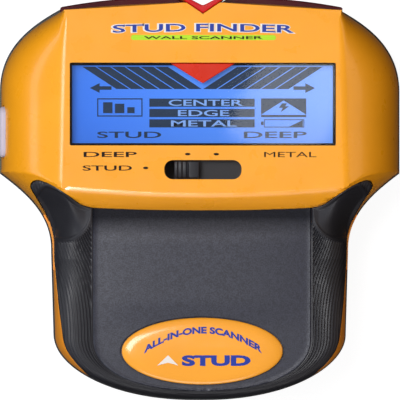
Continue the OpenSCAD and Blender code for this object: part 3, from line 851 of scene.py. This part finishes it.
def front_shell():
    """The head with its openings, and the points of the rubber that starts on it."""
    head = head_solid("front_shell")
    grid = rubber_grid(head)
    cutters = [
        head_room(),
        prism("cut_black", black_region(), STEP_Z, TALL),
        prism("cut_lcd", LCD_RING, LENS_LO[2] - 1, TALL),
        prism("cut_slot", SLOT_RING, TOP_Z - 8, TALL),
        prism("cut_guide", GUIDE_RING, 0, TALL),
        prism("cut_window", WINDOW_RING, 5, WINDOW_HI[2] + SNUG),
        loft("cut_button", cap_rings(((0.3, -45), (0.3, -36.5)))),
    ]
    combine(head, cutters, "DIFFERENCE")
    bevel(head, 0.3, 56, 3)
    finish_piece(head, YELLOW, ["front_shell"], angle=50)
    return head, grid


HEAD, GRID = front_shell()


def ear_roots():
    """The short walls under the ears, which join the head to the moulding along the handle."""
    top = float(GRID[N_EAR, -1, 2]) + 0.2
    walls = prism("ear_roots", whole(inset(OUTLINE, 0.25)), PART_Z, top)
    hollow = prism("hollow", whole(inset(OUTLINE, 1.9)), PART_Z - 1, top + 1)
    combine(walls, [hollow], "DIFFERENCE")
    near = prism("near", box_ring(-45, 45, -14.5, -3.2), PART_Z - 1, top + 1)
    combine(walls, [near], "INTERSECT")
    return walls


handle = handle_skirt()
combine(handle, [ear_roots()], "UNION")
finish_piece(handle, YELLOW_INNER, ["front_shell"], angle=40)

rubber = sheet("rubber_grip", *(both_sides(rows) for rows in finish_rubber(GRID)), skip=4)
finish_piece(rubber, RUBBER, ["rubber_grip"], angle=50)


# ---- grip panel and badge ----

def panel_edge():
    """The grip panel's right edge from its top corner down to the middle of the foot."""
    run = [np.array([PANEL_X, y]) for y in np.linspace(-1.8, HEEL[1], 40)]
    run += curve((PANEL_X, HEEL[1]), (PANEL_X, -35.5), (13, PANEL_LO[1]), (1, PANEL_LO[1]), 40)[1:]
    run += [np.array([0.0, PANEL_LO[1]])]
    return np.array(run)


def edge_distance(p, edge):
    """Distance in plan from a point to the panel's side and foot edge."""
    return float(np.min(np.linalg.norm(edge - [abs(p[0]), p[1]], axis=1)))


def grip_panel():
    """The crowned panel with a fine raised line inside its edge."""
    edge = panel_edge()
    n_x = 40
    top = []
    for x1, y1 in edge:
        row = []
        for s in np.linspace(-1, 1, n_x + 1):
            x = x1 * math.sin(0.5 * math.pi * s)
            lip_y = -2.15 + 0.4 * (x / PANEL_X) ** 2
            y = y1 if y1 < -6 else mix(-6, lip_y, (y1 + 6) / (edge[0][1] + 6))
            d = edge_distance((x, y), edge)
            raised = 0.16 * math.exp(-((d - 0.35) / 0.22) ** 2)
            row.append((x, y, panel_height(x, y) + raised - 0.22 * (1 - smooth(d / 0.3))))
        top.append(row)
    top = np.array(top[:-1])
    return sheet("grip_panel", top, top - (0, 0, 1.2))


BADGE_Y = (BADGE_LO[1] + BADGE_HI[1]) / 2
BADGE_RX = BADGE_HI[0]
BADGE_RY = (BADGE_HI[1] - BADGE_LO[1]) / 2
BADGE_TOP = GRIP_Z + 1.15
BADGE_RIM = 2.2        # width of the sloping rim
BADGE_DOME = 0.30      # how far the dome rises inside it

panel = grip_panel()
combine(panel, [prism("cut_badge", ellipse(0, BADGE_Y, BADGE_RX + 0.35, BADGE_RY + 0.3), 28.2, TALL)], "DIFFERENCE")
finish_piece(panel, PANEL_MAT, ["grip_panel"], angle=45)


def badge_level(x, y):
    """Height of the badge's dome."""
    r2 = (x / (BADGE_RX - BADGE_RIM)) ** 2 + ((y - BADGE_Y) / (BADGE_RY - BADGE_RIM)) ** 2
    return BADGE_TOP - BADGE_DOME * r2


def badge():
    """A domed oval with a sloping rim round it."""
    rings = [ring3(ellipse(0, BADGE_Y, BADGE_RX - 0.1, BADGE_RY - 0.1), BADGE_LO[2] + 0.05)]
    for d, drop in ((0, 1.3), (0, 1.08), (0.15, 0.86), (0.5, 0.67), (1.0, 0.50), (1.6, 0.37),
                    (BADGE_RIM, BADGE_DOME)):
        rings.append(ring3(ellipse(0, BADGE_Y, BADGE_RX - d, BADGE_RY - d), BADGE_TOP - drop))
    for k in range(1, 15):
        r = 1 - k / 15
        inner = ellipse(0, BADGE_Y, (BADGE_RX - BADGE_RIM) * r, (BADGE_RY - BADGE_RIM) * r)
        rings.append(ring3(inner, BADGE_TOP - BADGE_DOME * r * r))
    obj = loft("badge", rings)
    return finish_piece(obj, BADGE, ["badge"], angle=60)


badge()


# ---- back shell, window, light guide ----

DOOR_HALF = 25.5       # half the battery door's width
WINDOW_DEEP = 2.35     # the window bar's depth, front to back
SCREWS = [(x * side, y) for x, y in ((34, 10), (26, 32.5)) for side in (1, -1)]


def tray(inset_top):
    """Rings of the tool's underside with its rounded edge, and of its wall up to the insets and heights given."""
    rounded = [(1.6, 0.0), (1.05, 0.16), (0.62, 0.42), (0.3, 0.8), (0.1, 1.2), (0.0, 1.7)]
    places = [(d, PAD_Z + h) for d, h in rounded] + inset_top
    return [ring3(whole(inset(OUTLINE, d)), z) for d, z in places]


def back_shell():
    """The black tray with its openings for the door, the label, the window, the guide and the screws."""
    obj = loft("back_shell", tray([(0, PART_Z - 0.35), (0.12, PART_Z - 0.12), (SHELL_INSET, PART_Z)]))
    floor_top = PAD_Z + WALL
    cutters = [
        prism("cut_room", whole(inset(OUTLINE, WALL)), floor_top, 20),
        prism("cut_door", box_ring(-DOOR_HALF - 0.2, DOOR_HALF + 0.2, -HALF_L - 2, -3.6), 0, floor_top + 0.03),
        prism("cut_guide", GUIDE_RING, -1, 20),
        prism("cut_window", WINDOW_RING, WINDOW_LO[2] - SNUG, 20),
        prism("cut_label", grown(LABEL_LO, LABEL_HI, 0.1, 1.5), 0, LABEL_HI[2] + 0.02),
    ]
    cutters += [prism("cut_screw", ellipse(x, y, 2.8, 2.8, 40), 0, 4.4) for x, y in SCREWS]
    combine(obj, cutters, "DIFFERENCE")
    bevel(obj, 0.2, 45, 2)
    return finish_piece(obj, BLACK, ["back_shell"], angle=35)


back_shell()


def arrow_window():
    """A bar of dark red acrylic along the notch end, rounded along its edges."""
    arm = NOTCH_HALF + 1.75
    z0, z1 = WINDOW_LO[2], WINDOW_HI[2]
    half = OUTLINE[:8 * K + 1]
    outer = np.vstack([[(arm, HALF_L)], half[half[:, 0] > arm], [(28.8, half[-1][1] - 0.2)]])
    right = np.vstack([outer, outer[::-1] - (0, WINDOW_DEEP)])
    front = right[:, 1] > right[:, 1].mean()
    edges = ((0.25, z0), (0.0, z0 + 0.3), (0.0, z1 - 0.5), (0.12, z1 - 0.2), (0.4, z1))
    pieces = []
    for side in (1, -1):
        rings = [ring3((right - np.outer(front, (0, d))) * [side, 1], z) for d, z in edges]
        pieces.append(loft("arrow_window", rings))
    bridge = np.array([(0, 35.85), (9, HALF_L - 2.6), (5.7, HALF_L - 0.1), (0, 37.5), (-5.7, HALF_L - 0.1),
                       (-9, HALF_L - 2.6)])
    obj = pieces[0]
    combine(obj, [pieces[1], prism("bridge", bridge, z0, z1 - 0.1)], "UNION")
    return finish_piece(obj, WINDOW, ["arrow_window"], angle=40)


arrow_window()


def light_guide():
    """The bright red V round the notch."""
    arm = NOTCH_HALF + 1.05
    notch = NOTCH_HALF - 0.5
    end_y = HALF_L - 0.3
    ring = np.array([(0, HALF_L - NOTCH_DEPTH), (notch, end_y), (arm, end_y),
                     (0, HALF_L - NOTCH_DEPTH - GUIDE_DEPTH + SNUG), (-arm, end_y), (-notch, end_y)])
    obj = prism("notch_light_guide", ring, GUIDE_LO[2], GUIDE_HI[2])
    bevel(obj, 0.35, 30, 3)
    return finish_piece(obj, GUIDE, ["notch_light_guide"], angle=50)


light_guide()


# ---- display ----

def plate(name, ring, z0, z1, edge=0.15):
    """A flat plate with slightly rounded edges."""
    obj = prism(name, ring, z0, z1)
    bevel(obj, edge, 40, 3)
    return obj


lens = plate("lcd_window", grown(LENS_LO, LENS_HI, 0, 0.3, 4), LENS_LO[2], LENS_HI[2])
finish_piece(lens, LENS, ["lcd_window"])

PTR_LO, PTR_HI = cad("center_pointer")
pointer_ring = np.array([(PTR_LO[0], PTR_HI[1]), (PTR_HI[0], PTR_HI[1]), (0, PTR_LO[1])])
pointer = plate("center_pointer", pointer_ring, PTR_LO[2], PTR_HI[2], 0.25)
finish_piece(pointer, POINTER, ["center_pointer"])

PRINT_Z = GLASS_HI[2] + 0.03


def flat(name, shapes, z, thick=0.03):
    """Thin closed plates for print, from closed plan rings."""
    verts, faces = [], []
    for ring in shapes:
        n, m = len(verts), len(ring)
        verts += [(x, y, z) for x, y in ring] + [(x, y, z + thick) for x, y in ring]
        faces += [tuple(range(n, n + m))[::-1], tuple(range(n + m, n + 2 * m))]
        faces += [(n + i, n + (i + 1) % m, n + m + (i + 1) % m, n + m + i) for i in range(m)]
    return make(name, verts, faces)


def arrow_shape(x, y, size, side):
    """An arrow with its tip at x, y and its tail towards the given side."""
    pts = [(0, 0), (0.45, 0.36), (0.45, 0.13), (1, 0.13), (1, -0.13), (0.45, -0.13), (0.45, -0.36)]
    return np.array([(x + side * size * px, y + 0.62 * size * py) for px, py in pts])


def frame_shapes(x0, x1, y0, y1, t):
    """The four bars of a thin frame."""
    return [box_ring(x0, x1, y0, y0 + t), box_ring(x0, x1, y1 - t, y1), box_ring(x0, x0 + t, y0 + t, y1 - t),
            box_ring(x1 - t, x1, y0 + t, y1 - t)]


def display_shapes():
    """The display's dark segments: slanting bars, arrows, bar sign, word fields, mains sign and battery sign."""
    shapes = []
    top_y, low_y = 26.9, 22.4
    for side in (-1, 1):
        for k in range(6):
            xt = 24.4 - 2.95 * k
            xl = xt - 6.9
            ring = [(xt, top_y), (xt - 2.6, top_y), (xl - 2.6, low_y), (xl, low_y)]
            shapes.append(np.array([(side * x, y) for x, y in ring]))
        shapes.append(arrow_shape(side * 22.9, 22.6, 4.4, -side))
    shapes += frame_shapes(-21.4, -12.2, 16.8, 20.5, 0.22)
    for x, w, h in ((-20.2, 1.9, 2.2), (-17.8, 1.9, 1.9), (-15.3, 1.5, 1.2)):
        shapes.append(box_ring(x, x + w, 17.5, 17.5 + h))
    for y0 in (18.8, 16.7, 14.6):
        shapes.append(box_ring(-10.8, 10.6, y0, y0 + 1.65))
    shapes += [
        np.array([(11.9, 20.5), (21.1, 20.5), (21.1, 17.2), (16.5, 20.1), (11.9, 17.2)]),
        box_ring(11.9, 21.1, 16.7, 17.15),
        np.array([(16.2, 19.5), (15.5, 18.6), (16.3, 18.6), (15.9, 17.7), (17.6, 18.9), (16.8, 18.9), (17.2, 19.5)]),
        np.array([(17.6, 14.75), (20.4, 14.75), (20.4, 16.1)]),
    ]
    shapes += frame_shapes(12.5, 20.7, 14.6, 16.25, 0.16)
    shapes.append(box_ring(11.9, 12.4, 15.1, 15.8))
    return shapes


segments = flat("lcd_segments", display_shapes(), PRINT_Z)
finish_piece(segments, SEGMENT)


def text_mesh(name, words, x0, x1, y0, y1, z, mat, slot, bold=0.02, arc=0.0, thick=0.03):
    """A generic word, fitted to a box in plan, and bent along an arc if asked."""
    data = bpy.data.curves.new(name, "FONT")
    data.body = words
    data.offset = bold
    data.extrude = 0.02
    data.resolution_u = 4
    obj = place(name, data)
    bpy.context.view_layer.update()
    mesh = bpy.data.meshes.new_from_object(obj.evaluated_get(bpy.context.evaluated_depsgraph_get()))
    bpy.data.objects.remove(obj)
    co = np.array([v.co for v in mesh.vertices])
    lo, hi = co.min(0), co.max(0)
    co = (co - lo) / (hi - lo)
    across = 2 * co[:, 0] - 1
    co[:, 0] = x0 + co[:, 0] * (x1 - x0)
    co[:, 1] = y0 + co[:, 1] * (y1 - y0) + arc * (1 - across ** 2)
    base = np.array([z(x, y) for x, y in co[:, :2]]) if callable(z) else z
    co[:, 2] = base + co[:, 2] * thick
    for v, c in zip(mesh.vertices, co):
        v.co = [float(k) / MM for k in c]
    out = place(name, mesh)
    bm = bmesh.new()
    bm.from_mesh(mesh)
    bmesh.ops.remove_doubles(bm, verts=bm.verts, dist=1e-7)
    bmesh.ops.recalc_face_normals(bm, faces=bm.faces)
    bm.to_mesh(mesh)
    bm.free()
    return finish_piece(out, mat)


LETTER_Z = PRINT_Z + 0.035  # on top of the dark fields
LCD_WORDS = [
    ("lcd_word_center", "CENTER", -6.9, 8.2, 18.98, 20.25, LETTER_Z, LETTER),
    ("lcd_word_edge", "EDGE", -5.0, 5.4, 16.88, 18.15, LETTER_Z, LETTER),
    ("lcd_word_metal", "METAL", -6.4, 7.0, 14.78, 16.05, LETTER_Z, LETTER),
    ("lcd_word_stud", "STUD", -21.4, -8.4, 12.45, 13.75, PRINT_Z, SEGMENT),
    ("lcd_word_deep", "DEEP", 8.4, 21.2, 12.45, 13.75, PRINT_Z, SEGMENT),
]
for row in LCD_WORDS:
    text_mesh(*row, "lcd_blue", 0.014)


def badge_print(x, y):
    return badge_level(x, y) + 0.02


COAT_Z = FACE_Z + 0.012  # on top of a first coat of print
SWITCH_WORDS = [  # the M of METAL breaks up if it's made bolder
    ("face_word_deep", "DEEP", -24.2, -13.4, 8.55, 9.6, 0.014),
    ("face_word_stud", "STUD", -24.4, -14.4, 5.8, 6.85, 0.014),
    ("face_word_metal", "METAL", 12.4, 23.0, 8.55, 9.6, 0),
]
for *row, bold in SWITCH_WORDS:
    text_mesh(*row, FACE_Z, BLACK_INK, "yellow_abs", bold, 0, 0.012)

dots = flat("face_dots", [ellipse(x, y, 0.55, 0.26, 16) for x, y in ((-11.6, 6.35), (-3.1, 9.15), (2.7, 9.15))],
            FACE_Z, 0.012)
finish_piece(dots, BLACK_INK)
pill = flat("face_pill", [box_ring(-14.6, 14.8, 32.25, 33.3, 0.52)], FACE_Z, 0.01)
finish_piece(pill, LIME_INK)

TITLE_WORDS = [
    ("face_word_small", "WALL SCANNER", -12.0, 12.2, 32.47, 33.06, COAT_Z, BLACK_INK, "yellow_abs", 0.02, 0, 0.01),
    ("face_word_white", "STUD FINDER", -18.7, 18.9, 33.55, 35.45, FACE_Z + 0.001, WHITE_INK, "yellow_abs", 0.065,
     0.3, 0.01),
    ("face_word_blue", "STUD FINDER", -18.3, 18.5, 33.7, 35.3, COAT_Z, INK, "yellow_abs", 0.02, 0.3, 0.012),
    ("badge_word_arc", "ALL-IN-ONE SCANNER", -11.9, 12.1, -31.4, -30.0, badge_print, INK, "badge_orange", 0.045,
     4.1, 0.02),
    ("badge_word", "STUD", -4.2, 9.8, -33.9, -31.7, badge_print, INK, "badge_orange", 0.05, 0, 0.02),
]
for row in TITLE_WORDS:
    text_mesh(*row)

badge_arrow = flat("badge_arrow", [np.array([(-9.2, -33.8), (-7.0, -31.7), (-4.9, -33.8), (-7.0, -33.2)])],
                   badge_level(-7, -32.8) + 0.04, 0.03)
finish_piece(badge_arrow, WHITE_INK)


# ---- controls ----

def switch_knob():
    """The pad with fine grooves and the taller ridge of the mode switch."""
    x0, y0, z0 = KNOB_LO
    x1, y1, z1 = KNOB_HI
    groove, pitch = 0.14, 0.9
    section = [(x, z1 - 0.9 - groove * 0.5 * (1 + math.cos(2 * math.pi * (x - x0) / pitch)))
               for x in np.linspace(x0, x1 - 2.3, 28)]
    section += [(x1 - 2.25, z1 - 0.12), (x1 - 2.05, z1), (x1 - 0.3, z1), (x1 - 0.05, z1 - 0.2), (x1, z1 - 0.5)]
    section += [(x1, z0), (x0, z0)]
    obj = loft("slide_switch_knob", [np.array([(x, y, z) for x, z in section]) for y in (y0, y1)])
    bevel(obj, 0.12, 50, 2)
    return finish_piece(obj, SLIDER, ["slide_switch_knob"], "mode_switch", 40)


switch_knob()
shutter = plate("slide_switch_shutter", grown(SHUTTER_LO, SHUTTER_HI, 0, 0.3, 3), SHUTTER_LO[2], SHUTTER_HI[2])
finish_piece(shutter, SLIDER, ["slide_switch_shutter"], "mode_switch")


def power_button():
    """The long cap with a rounded edge, its neck and the flange behind the wall."""
    x0, z0 = BUTTON_LO[0], BUTTON_LO[2]
    x1, y1, z1 = BUTTON_HI
    rounded = ((0, 2.75), (0, 0.45), (-0.1, 0.18), (-0.3, 0.04), (-0.6, 0))
    obj = loft("power_button", cap_rings([(grow, x0 + deep) for grow, deep in rounded]))
    neck = prism("neck", box_ring(x0 + 2.7, x1 - 0.7, y1 - 5.4, y1 - 1.4), CAP_Z - 1.2, CAP_Z + 1.2)
    flange = prism("flange", box_ring(x1 - 0.8, x1, y1 - 6, y1), z0, z1)
    combine(obj, [neck, flange], "UNION")
    return finish_piece(obj, BUTTON, ["power_button"], "power_button", 40)


power_button()


# ---- underside ----

def battery_door():
    """The door plate with its rounded foot edge, a thumb grip and the tabs that hold it."""
    z_top, tab_top = PAD_Z + WALL - 0.2, 4.2
    obj = loft("battery_door", tray([(0, z_top)]))
    combine(obj, [prism("keep", box_ring(-DOOR_HALF, DOOR_HALF, -HALF_L - 2, -3.8), 0, 8)], "INTERSECT")
    grooves = []
    for k in range(5):
        x, y = 7 - 0.7 * k, -12.0 - 1.6 * k
        grooves.append(prism("groove", box_ring(-x, x, y - 0.4, y + 0.4, 0.38, 4), 0, PAD_Z + 0.45))
    combine(obj, grooves, "DIFFERENCE")
    tabs = []
    for side in (-1, 1):
        for y in (-20, -10):
            for x_in, x_out, z in ((-2.8, 0, z_top - 0.2), (-0.8, 1.3, PAD_Z + WALL + 0.2)):
                a, b = sorted((side * (DOOR_HALF + x_in), side * (DOOR_HALF + x_out)))
                tabs.append(prism("tab", box_ring(a, b, y, y + 5), z, tab_top))
    combine(obj, tabs, "UNION")
    bevel(obj, 0.15, 50, 2)
    return finish_piece(obj, DOOR, ["battery_door"], "battery_door", 35)


battery_door()


def glide_pads():
    """Four pads under the back, two wide and two slim."""
    parts = []
    for side in (-1, 1):
        for x, y, w, l, r in ((side * 31, 19, 2.2, 4.5, 2.0), (side * 27.4, -16, 1.2, 8, 1.1)):
            outer = box_ring(x - w, x + w, y - l, y + l, r, 8)
            small = box_ring(x - w + 0.2, x + w - 0.2, y - l + 0.2, y + l - 0.2, r - 0.2, 8)
            parts.append(loft("glide_pads", [ring3(small, 0), ring3(outer, 0.25), ring3(outer, PAD_Z)]))
    combine(parts[0], parts[1:], "UNION")
    return finish_piece(parts[0], PAD, ["glide_pads"])


glide_pads()
label = plate("rear_label", grown(LABEL_LO, LABEL_HI, 0, 1.4), LABEL_LO[2] + 0.05, LABEL_HI[2], 0.08)
finish_piece(label, LABEL, ["rear_label"])


# ---- materials of the CAD nodes that stay ----

KEPT = {
    "lcd_gasket": FOAM, "lcd_glass": DISPLAY, "lcd_backlight": BACKLIGHT, "lcd_holder": HOLDER,
    "zebra_strips": ZEBRA, "main_pcb": BOARD, "microcontroller": CHIP, "driver_chips": CHIP, "buzzer": CHIP,
    "arrow_leds": LED, "led_light_pipe": PIPE, "board_connector": CHIP, "sensor_board": BOARD,
    # the mode switch's body gets steel painted darker for the shade in its slot
    "sensor_plates": COPPER, "metal_coil": COPPER, "slide_switch_lever": NYLON, "slide_switch_body": SHADE_DARKENED_STEEL,
    "power_tact_switch": STEEL, "battery_9v": BATTERY, "battery_terminals": STEEL, "battery_snap": CHIP,
    "battery_leads": WIRE, "battery_foam": FOAM, "shell_screws": STEEL, "pcb_screws": STEEL,
}
for node, mat in KEPT.items():
    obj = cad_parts[node]
    if not obj.material_slots:
        obj.data.materials.append(mat)
    for s in obj.material_slots:
        s.material = mat


# ---- floor, light and camera ----

def floor():
    """Pale ground that the camera sees, and that throws no light back on the tool."""
    size = 12.0
    mesh = bpy.data.meshes.new("floor")
    mesh.from_pydata([(-size, -size, 0), (size, -size, 0), (size, size, 0), (-size, size, 0)], [], [(0, 1, 2, 3)])
    obj = place("floor", mesh)
    obj.visible_diffuse = False
    obj.visible_glossy = False
    s = Shader("floor_pale", (0.5, 0.5, 0.5), 0.9, 0, 0.0)
    s.mottle(0.01, 3)
    s.bsdf.inputs["Emission Color"].default_value = (1, 1, 1, 1)
    s.bsdf.inputs["Emission Strength"].default_value = 0.9
    mesh.materials.append(s.mat)


def area_light(name, at, target, size, radiance, colour=(1, 1, 1), size_y=None, spin=0.0):
    """A rectangle of light, size wide, that faces the target."""
    data = bpy.data.lights.new(name, "AREA")
    data.shape = "RECTANGLE"
    data.size = size
    data.size_y = size_y or size
    data.energy = radiance * math.pi * data.size * data.size_y
    data.color = colour
    obj = place(name, data)
    obj.location = at
    aim = (Vector(target) - Vector(at)).to_track_quat("-Z", "Y")
    obj.rotation_euler = (aim.to_matrix() @ Matrix.Rotation(spin, 3, "Z")).to_euler()
    return obj


def surroundings():
    """A dim room: dark below, brighter overhead, cool on the left and warm on the right."""
    world = bpy.data.worlds.new("studio")
    world.use_nodes = True
    nodes, links = world.node_tree.nodes, world.node_tree.links
    split = nodes.new("ShaderNodeSeparateXYZ")
    links.new(nodes.new("ShaderNodeTexCoord").outputs["Generated"], split.inputs[0])
    tint = nodes.new("ShaderNodeValToRGB")
    for stop, at, colour in zip(tint.color_ramp.elements, (0.15, 0.8), ((0.85, 0.96, 1.2, 1), (0.75, 0.62, 0.52, 1))):
        stop.position = at
        stop.color = colour
    rise = nodes.new("ShaderNodeFloatCurve")
    points = rise.mapping.curves[0].points
    for p, co in zip([points[0], points[1]], ((0, 0.05), (1, 0.55))):
        p.location = co
    points.new(0.48, 0.06)
    points.new(0.56, 0.22)
    points.new(0.75, 0.40)
    rise.mapping.update()
    for axis, value in (("X", tint.inputs["Fac"]), ("Z", rise.inputs["Value"])):
        share = nodes.new("ShaderNodeMapRange")
        share.inputs["From Min"].default_value = -1
        links.new(split.outputs[axis], share.inputs["Value"])
        links.new(share.outputs["Result"], value)
    back = nodes["Background"]
    links.new(tint.outputs["Color"], back.inputs["Color"])
    links.new(rise.outputs["Value"], back.inputs["Strength"])
    backdrop = nodes.new("ShaderNodeBackground")
    backdrop.inputs["Color"].default_value = (1, 1, 1, 1)
    seen = nodes.new("ShaderNodeMixShader")
    links.new(nodes.new("ShaderNodeLightPath").outputs["Is Camera Ray"], seen.inputs["Fac"])
    links.new(back.outputs["Background"], seen.inputs[1])
    links.new(backdrop.outputs["Background"], seen.inputs[2])
    links.new(seen.outputs["Shader"], nodes["World Output"].inputs["Surface"])
    bpy.context.scene.world = world


def studio():
    """The room and its lamps. The streak falls on the head alone."""
    surroundings()
    middle = (0, 0, 0.02)
    area_light("key", (-0.42, 0.26, 1.12), middle, 0.55, 10.5)
    area_light("left_low", (-0.42, 0.02, 0.045), (0, 0.02, 0.045), 0.5, 2.6, (0.95, 0.98, 1.0), 0.085)
    area_light("front", (-0.05, -0.95, 0.5), middle, 0.7, 2.3, (1, 1, 1), 0.5)
    area_light("right", (1.0, 0.1, 0.45), middle, 0.4, 1.2, (1.0, 0.8, 0.66), 0.4)
    streak = area_light("streak", (-0.1, -0.25, 0.36), (-0.024, 0.002, 0.033), 0.06, 85, (1, 1, 1), 0.22)
    streak.visible_diffuse = False
    only_head = bpy.data.collections.new("only_head")
    only_head.objects.link(HEAD)
    streak.light_linking.receiver_collection = only_head
    area_light("glare", (0.0865, 0.0435, 1.5), (0.0865, 0.0435, 0), 0.042, 3.6, (1, 1, 1), 0.05, math.radians(-22))


def camera():
    """Nearly straight above and a little to the left, with a long lens."""
    data = bpy.data.cameras.new("camera")
    data.type = "PERSP"
    data.sensor_width = 36
    data.lens = 524
    data.clip_start = 0.01
    data.clip_end = 20
    obj = place("camera", data)
    distance, tilt = 1.2, math.radians(1.8)
    target = Vector((0.00002, -0.00015, 0.013))
    obj.location = target + Vector((-distance * math.sin(tilt), 0, distance * math.cos(tilt)))
    obj.rotation_euler = (0, -tilt, 0)
    bpy.context.scene.camera = obj
    bpy.context.scene.view_settings.view_transform = "Standard"


floor()
studio()
camera()
